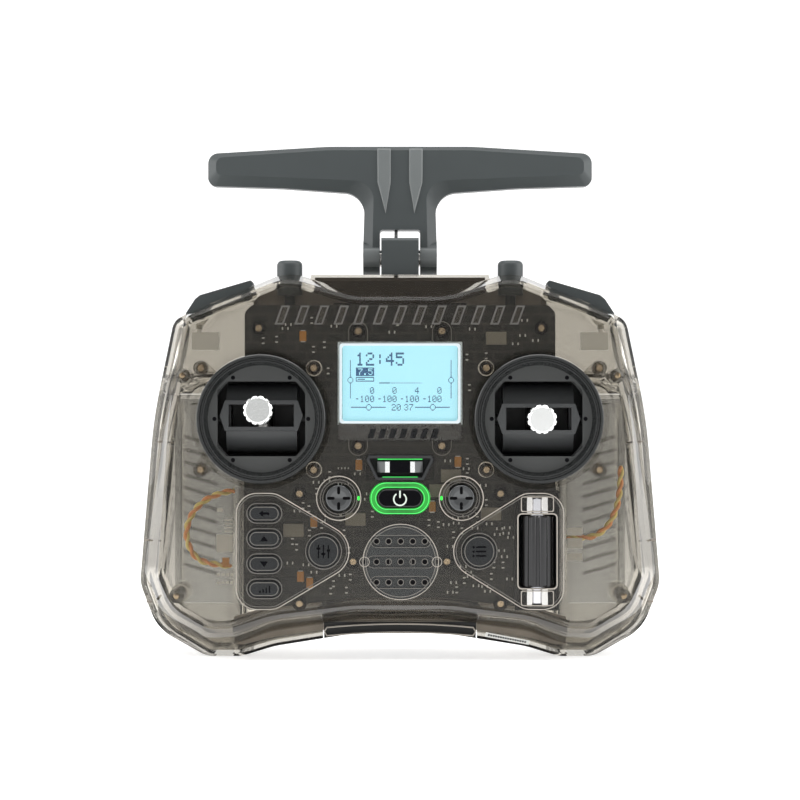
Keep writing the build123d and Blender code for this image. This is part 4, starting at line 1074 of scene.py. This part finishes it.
def back_surface(node):
    """A function that gives the depth of a CAD node's back at (x, z), or None beside it."""
    tree = BVHTree.FromObject(NODES[node], bpy.context.evaluated_depsgraph_get())

    def depth(x, z):
        hit = tree.ray_cast(Vector((x, 80, z)) * MM, Vector((0, -1, 0)))[0]
        return hit.y / MM if hit else None
    return depth


def draped_bar(build, depth, start, end, width, rise, steps=12):
    """A raised bar that follows the back of a part between two (x, z) points."""
    along = (Vector(end) - Vector(start)).normalized()
    across = Vector((-along.y, along.x)) * width / 2
    sunk, deepest = -0.3, cad_box[1][1] / MM - 0.01
    loops = []
    for i in range(steps + 1):
        place = Vector(start).lerp(Vector(end), i / steps)
        left, right = [(edge, depth(*edge)) for edge in (place - across, place + across)]
        if left[1] is None or right[1] is None:
            continue
        corners = [(p.x, min(y + lift, deepest), p.y) for (p, y), lift in
                   ((left, rise), (right, rise), (right, sunk), (left, sunk))]
        loops.append([Vector(c) * MM for c in corners])
    if len(loops) > 1:
        build.skin([[build.mesh.verts.new(c) for c in loop] for loop in loops])


def add_back_grips():
    """Slanted grip ridges on both battery doors, and the border and thumb ridges of the module cover."""
    for side, s in SIDES:
        door = side + "_battery_door"
        (x, z), depth, ridges = middle(door).xz, back_surface(door), Build()
        for i in range(11):
            level = z - 22 + 4.0 * i
            draped_bar(ridges, depth, (x - s * 5.4, level - 1.6), (x + s * 5.4, level + 1.6), 1.1, 0.25)
        ridges.piece(side + "_grip_ridges", "cover", "smoke_cover", body=side + "_door", bevel=0.08)
    low, high = corners_of("module_cover")
    (half_x, half_z), (x, z), back = ((high - low) / 2).xz, ((low + high) / 2).xz, high.y
    outer = centred_box(x, z, half_x - 2.2, half_z - 2.2, 2.4)
    inner = centred_box(x, z, half_x - 2.7, half_z - 2.7, 2.0)
    border = band(Build(), outer, inner, back - 0.25, back + 0.14)
    border.piece("module_cover_border", "gloss", "black_gloss", body="bay_cover")
    thumb = Build()
    for i in range(5):
        thumb.prism(stadium(x, high.z - 5.0 - 1.3 * i, 14.0 - 2.2 * i, 0.6, 8), back - 0.25, back + 0.2)
    thumb.piece("module_cover_ridges", "gloss", "black_gloss", body="bay_cover")


def add_rim_tabs():
    """Short snap tabs along the joint of the two case halves, dark with painted shade."""
    tabs = Build()
    for x, z in ((66.6, 84.2), (72.2, 64.8), (76.0, 35.2), (75.4, 16.7)):
        for s in (1, -1):
            tabs.block(s * x, z, 1.7, 0.6, -1.4, -0.6)
    tabs.piece("snap_tabs", "shade", "smoke_shell", bevel=0.08)


# ---------------------------------------------------------------- inside the case
def add_fasteners():
    """Threaded brass inserts over the screws that are driven from behind, in clear collars or in dark rings
    of painted shade.
    """
    dark, clear, inserts = Build(), Build(), Build()
    front = -12.6
    tip = [(r, front + y) for r, y in ((0, -0.25), (0.55, -0.25), (0.92, 0.05), (0.92, 0.5), (0, 0.5))]
    for places, collars in ((BOARD_BOSSES, dark), (WING_BOSSES, clear)):
        for x, z in [(s * x, z) for x, z in places for s in (1, -1)]:
            collars.hoop(x, z, 2.14, 1.12, front, front + 2.2)
            inserts.revolve(x, z, tip, 20)
    clear.piece("wing_boss_collars", "tray", "smoke_shell", bevel=0.12)
    # Dark rings of painted shade round the board bosses.
    dark.piece("boss_shade_rings", "boss_shade", "smoke_key", bevel=0.12)
    inserts.piece("screw_tips", "brass", "steel")


NO_PARTS_BOXES = [(-19.6, 19.6, 63, 96.5), (-11.5, 11.5, 50.5, 63), (-8, 8, 44.3, 52.3), (33, 45, 19, 52),
                  (-45, -33, 19, 50)]            # low x, high x, low z, high z
PART_GAP = 0.35
NO_PARTS_ROUNDS = [(41.1, 71.7, 22.0), (0.2, 29.5, 13.6)] + [(x, z, 3.0) for x, z in BOARD_BOSSES]


def room_on_board(x, z, w, h, taken):
    """Whether a part fits on the board's front, clear of its openings, the pads and the parts before it."""
    if abs(x) + w / 2 > 44.8 or not 19.5 < z - h / 2 < 102:
        return False
    if any(x0 < x < x1 and z0 < z < z1 for x0, x1, z0, z1 in NO_PARTS_BOXES):
        return False
    if any(math.hypot(abs(x) - cx, z - cz) < r + w / 2 for cx, cz, r in NO_PARTS_ROUNDS):
        return False
    if math.hypot(abs(x) - 18.1, z - 48.3) < 5.6:
        return False
    if any(math.hypot(x - key_x, z - KEY_Z) < 5.5 + w / 2 for key_x in KEY_X):
        return False
    return all(abs(x - tx) > (w + tw) / 2 + PART_GAP or abs(z - tz) > (h + th) / 2 + PART_GAP
               for tx, tz, tw, th in taken)


def add_board_parts():
    """Small packages, connectors and chip resistors over the front of the board, clear of its openings."""
    rng = random.Random(7)
    chips, ends, nylon, orange = Build(), Build(), Build(), Build()
    top, taken = BOARD_Y, []

    def place(x, z, w, h):
        free = room_on_board(x, z, w, h, taken)
        if free:
            taken.append((x, z, w, h))
        return free

    for _ in range(600):
        x, z = rng.uniform(-42, 42), rng.uniform(21, 100)
        if len(taken) < 6 and place(x, z, 6.0, 3.8):
            nylon.block(x, z, 6.0, 3.8, top - 2.6, top - 0.05)
    for _ in range(1400):
        x, z = rng.uniform(-44, 44), rng.uniform(20, 101)
        kind = rng.random()
        dense = 0.9 if z < 60 else 0.30
        if rng.random() > dense:
            continue
        if kind < 0.78:
            w, h = (1.6, 0.8) if rng.random() < 0.5 else (0.8, 1.6)
            if not place(x, z, w, h):
                continue
            chips.block(x, z, w * 0.9, h * 0.9, top - 0.42, top)
            for e in (-1, 1):
                if w > h:
                    ends.block(x + e * w / 2, z, 0.4, h, top - 0.48, top - 0.01)
                else:
                    ends.block(x, z + e * h / 2, w, 0.4, top - 0.48, top - 0.01)
        elif kind < 0.92:
            w, h = rng.choice([(3.2, 2.6), (2.6, 3.2), (4.0, 4.0)])
            if not place(x, z, w + 1, h + 1):
                continue
            chips.block(x, z, w, h, top - 0.9, top - 0.1)
            for pin_x in [x - w / 2 + w * (k + 0.5) / 4 for k in range(4)]:
                for e in (-1, 1):
                    ends.block(pin_x, z + e * (h / 2 + 0.3), 0.32, 0.6, top - 0.3, top - 0.01)
        elif kind < 0.97 and place(x, z, 2.0, 3.4):
            orange.block(x, z, 2.0, 3.0, top - 1.3, top - 0.1)
            ends.block(x, z, 1.4, 3.6, top - 0.5, top - 0.01)
    chips.piece("board_packages", "chip", "packages", bevel=0.05)
    ends.piece("board_terminals", "solder", "steel", bevel=0.03)
    nylon.piece("board_connectors", "ivory", "packages", bevel=0.12)
    orange.piece("board_capacitors", "tantalum", "packages", bevel=0.08)


def smooth_path(name, route):
    """Points along a smooth curve that is drawn by a route of (x, y, z) points."""
    curve = bpy.data.curves.new(name + "_route", "CURVE")
    curve.dimensions = "3D"
    spline = curve.splines.new("NURBS")
    spline.points.add(len(route) - 1)
    for point, place in zip(spline.points, route):
        point.co = (*[c * MM for c in place], 1)
    spline.order_u = 3
    spline.use_endpoint_u = True
    spline.resolution_u = 16
    holder = bpy.data.objects.new(name + "_route", curve)
    bpy.context.scene.collection.objects.link(holder)
    path = [v.co / MM for v in bpy.data.meshes.new_from_object(holder).vertices]
    bpy.data.objects.remove(holder)
    return path


def twisted_pair(name, route, radius, lay, first, second):
    """Two insulated wires wound round each other along a smooth route."""
    path = smooth_path(name, route)
    for phase, finish, tag in ((0.0, first, "a"), (math.pi, second, "b")):
        points, run, before = [], 0.0, path[0]
        for point, side, across in frames_along(path):
            run += (point - before).length
            before = point
            points.append(point + spoke(side, across, phase + 2 * math.pi * run / lay) * radius)
        yield Build().tube(points, radius, 8).piece(f"{name}_{tag}", finish, "wire")


def add_wiring():
    """The twisted leads from both battery trays and from the speaker."""
    left = [(-49.5, -4, 50.2), (-55.5, -4, 49.4), (-62.0, -4.4, 44.5), (-64.6, -4.6, 37.0),
            (-61.5, -4.6, 29.8), (-56.0, -4, 28.0), (-50.5, -4, 27.6)]
    right = [(50.0, -4, 36.4), (55.5, -4, 35.6), (61.0, -4.4, 37.8), (64.6, -4.6, 43.5), (66.0, -4.6, 50.5),
             (66.2, -4, 57.5)]
    speaker = [(-8.0, -7.0, 19.8), (-12.0, -7.0, 18.7), (-17.0, -7.0, 18.2), (-22.0, -7.0, 18.6)]
    pieces = list(twisted_pair("left_cell_lead", left, 0.5, 6.5, "wire_orange", "wire_yellow"))
    pieces += twisted_pair("right_cell_lead", right, 0.5, 6.5, "wire_yellow", "wire_orange")
    pieces += twisted_pair("speaker_lead", speaker, 0.42, 5.0, "wire_red", "wire_black")
    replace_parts(pieces[0], "wiring")


def coil(build, start, end, radius, wire, turns):
    """A close-wound spring between two points."""
    start, end = Vector(start), Vector(end)
    along = (end - start).normalized()
    side = along.orthogonal().normalized()
    across, steps_a_turn = along.cross(side), 14
    points = []
    for i in range(steps_a_turn * turns + 1):
        place = start.lerp(end, i / (steps_a_turn * turns))
        points.append(place + spoke(side, across, 2 * math.pi * i / steps_a_turn) * radius)
    build.tube(points, wire, 6)


def add_springs():
    """Coil springs on the outer side of each stick housing, and one under the right one."""
    x, z = middle("right_gimbal_bezel").xz
    away, half, y = 17.9, 8.6, 5.5
    radius, wire, turns = 1.0, 0.22, 22
    build = Build()
    for s in (1, -1):
        coil(build, (s * (x + away), y, z - half), (s * (x + away), y, z + half), radius, wire, turns)
    coil(build, (x - half, y, z - away), (x + half, y, z - away), radius, wire, turns)
    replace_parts(build.piece("return_springs", "steel", "steel"), "gimbal_springs")


def add_cable():
    """The antenna's thin cable, which bends over the fold."""
    low, high = corners_of("antenna_coax")
    x, y, top = (low.x + high.x) / 2, low.y + 0.55, high.z - 0.55
    route = [(x, y, low.z + 0.5), (x, y, top - 3.2), (x, y + 0.2, top - 0.4), (x, y + 2.4, top + 0.3),
             (x, y + 4.6, top + 0.6), (x, y + 6.2, top + 3.4)]
    strand = Build().tube(smooth_points(route), 0.5, 10)
    cable = strand.piece("antenna_cable", "wire_black", "black_satin", body=None)
    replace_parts(cable, "antenna_coax")
    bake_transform(cable)


def add_side_parts():
    """Parts on the narrow boards beside the left keys and beside the roller, seen through the clear wings;
    the pale chips carry a painted glow.
    """
    y = -10.2
    left, strips, orange, right = Build(), Build(), Build(), Build()
    left.box(-54.6, -49.8, y, y + 1.0, 32.0, 37.3)
    for i in range(4):
        x = -54.4 + 1.3 * i
        strips.block(-51.0, 41.6 - 1.1 * i, 2.4, 0.44, y, y + 0.5)
        strips.box(x, x + 0.9, y, y + 0.4, 24.9, 25.9)
        strips.box(x, x + 0.9, y, y + 0.4, 22.6, 23.5)
    strips.box(-54.4, -52.6, y, y + 0.5, 44.0, 45.2)
    orange.box(-52.8, -50.8, y, y + 1.4, 27.6, 30.4)
    for foot, head in ((37.0, 39.4), (33.2, 36.2), (29.6, 31.8)):
        right.box(49.6, 54.2, y, y + 0.8, foot, head)
        for x in (50.2, 52.6):
            strips.box(x, x + 1.0, y - 0.1, y + 0.3, foot + 0.4, foot + 1.0)
    left.piece("left_side_chip", "pale_chip_painted_glow", "packages", bevel=0.08)
    right.piece("right_side_chips", "pale_chip_painted_glow", "packages", bevel=0.08)
    strips.piece("side_terminals", "solder", "steel", bevel=0.04)
    orange.piece("side_capacitor", "tantalum", "packages", bevel=0.1)


def add_green_light():
    """Green light on the edges round the power key, beside each trim pad and in the lanyard cup."""
    glints, lines, edges = Build(), Build(), Build()
    for s in (1, -1):
        glints.prism(centred_box(s * 12.25, 48.3, 0.28, 0.6, 0.25), FACE_Y + 0.1, FACE_Y + 0.9)
    glints.piece("green_glints", "green_point", "green_light", bevel=0.05)
    (x, z), front = middle("power_light_ring").xz, corners_of("power_light_ring")[0].y
    for width, height in ((14.6, 6.7), (17.2, 9.2)):
        inner = stadium(x, z, width - 0.36, height - 0.36, 20)
        band(lines, stadium(x, z, width, height, 20), inner, front - 0.04, front + 0.2)
    lines.piece("power_ring_lines", "green_line", "green_light")
    cup_z = middle("strap_cup").z
    for level, width in ((cup_z + 2.55, 13.2), (cup_z - 2.75, 10.4)):
        edges.block(0, level, width, 0.28, FACE_Y + 0.9, FACE_Y + 1.3)
    edges.piece("cup_green_edges", "green_line", "green_light")


def smooth_points(route, steps=6):
    """More points along a route, rounded through its middle points."""
    made = [Vector(route[0])]
    for a, b, c in zip(route, route[1:], route[2:]):
        start, mid, end = (Vector(a) + Vector(b)) / 2, Vector(b), (Vector(b) + Vector(c)) / 2
        for i in range(steps):
            t = i / steps
            made.append(start * (1 - t) ** 2 + mid * 2 * t * (1 - t) + end * t * t)
    made.append(Vector(route[-1]))
    return made


# ---------------------------------------------------------------- the scene
def main():
    add_camera()
    add_studio()
    add_floor()
    PAINT.update(make_materials())
    dress_cad()
    for add_pieces in (add_screen, add_lens_parts, add_key_icons, add_key_rims, add_pad_rims,
                       add_trim_rims, add_grille_rims, add_power_mark, add_gimbal_marks, add_case_marks,
                       add_post_tabs, add_shades, add_roller_tub, add_port_rim, add_label, add_rim_tabs,
                       add_back_grips, add_fasteners, add_board_parts, add_side_parts, add_wiring,
                       add_green_light, add_springs, add_cable):
        add_pieces()


main()
[[list(corner) for corner in box] for box in (cad_box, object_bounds())]
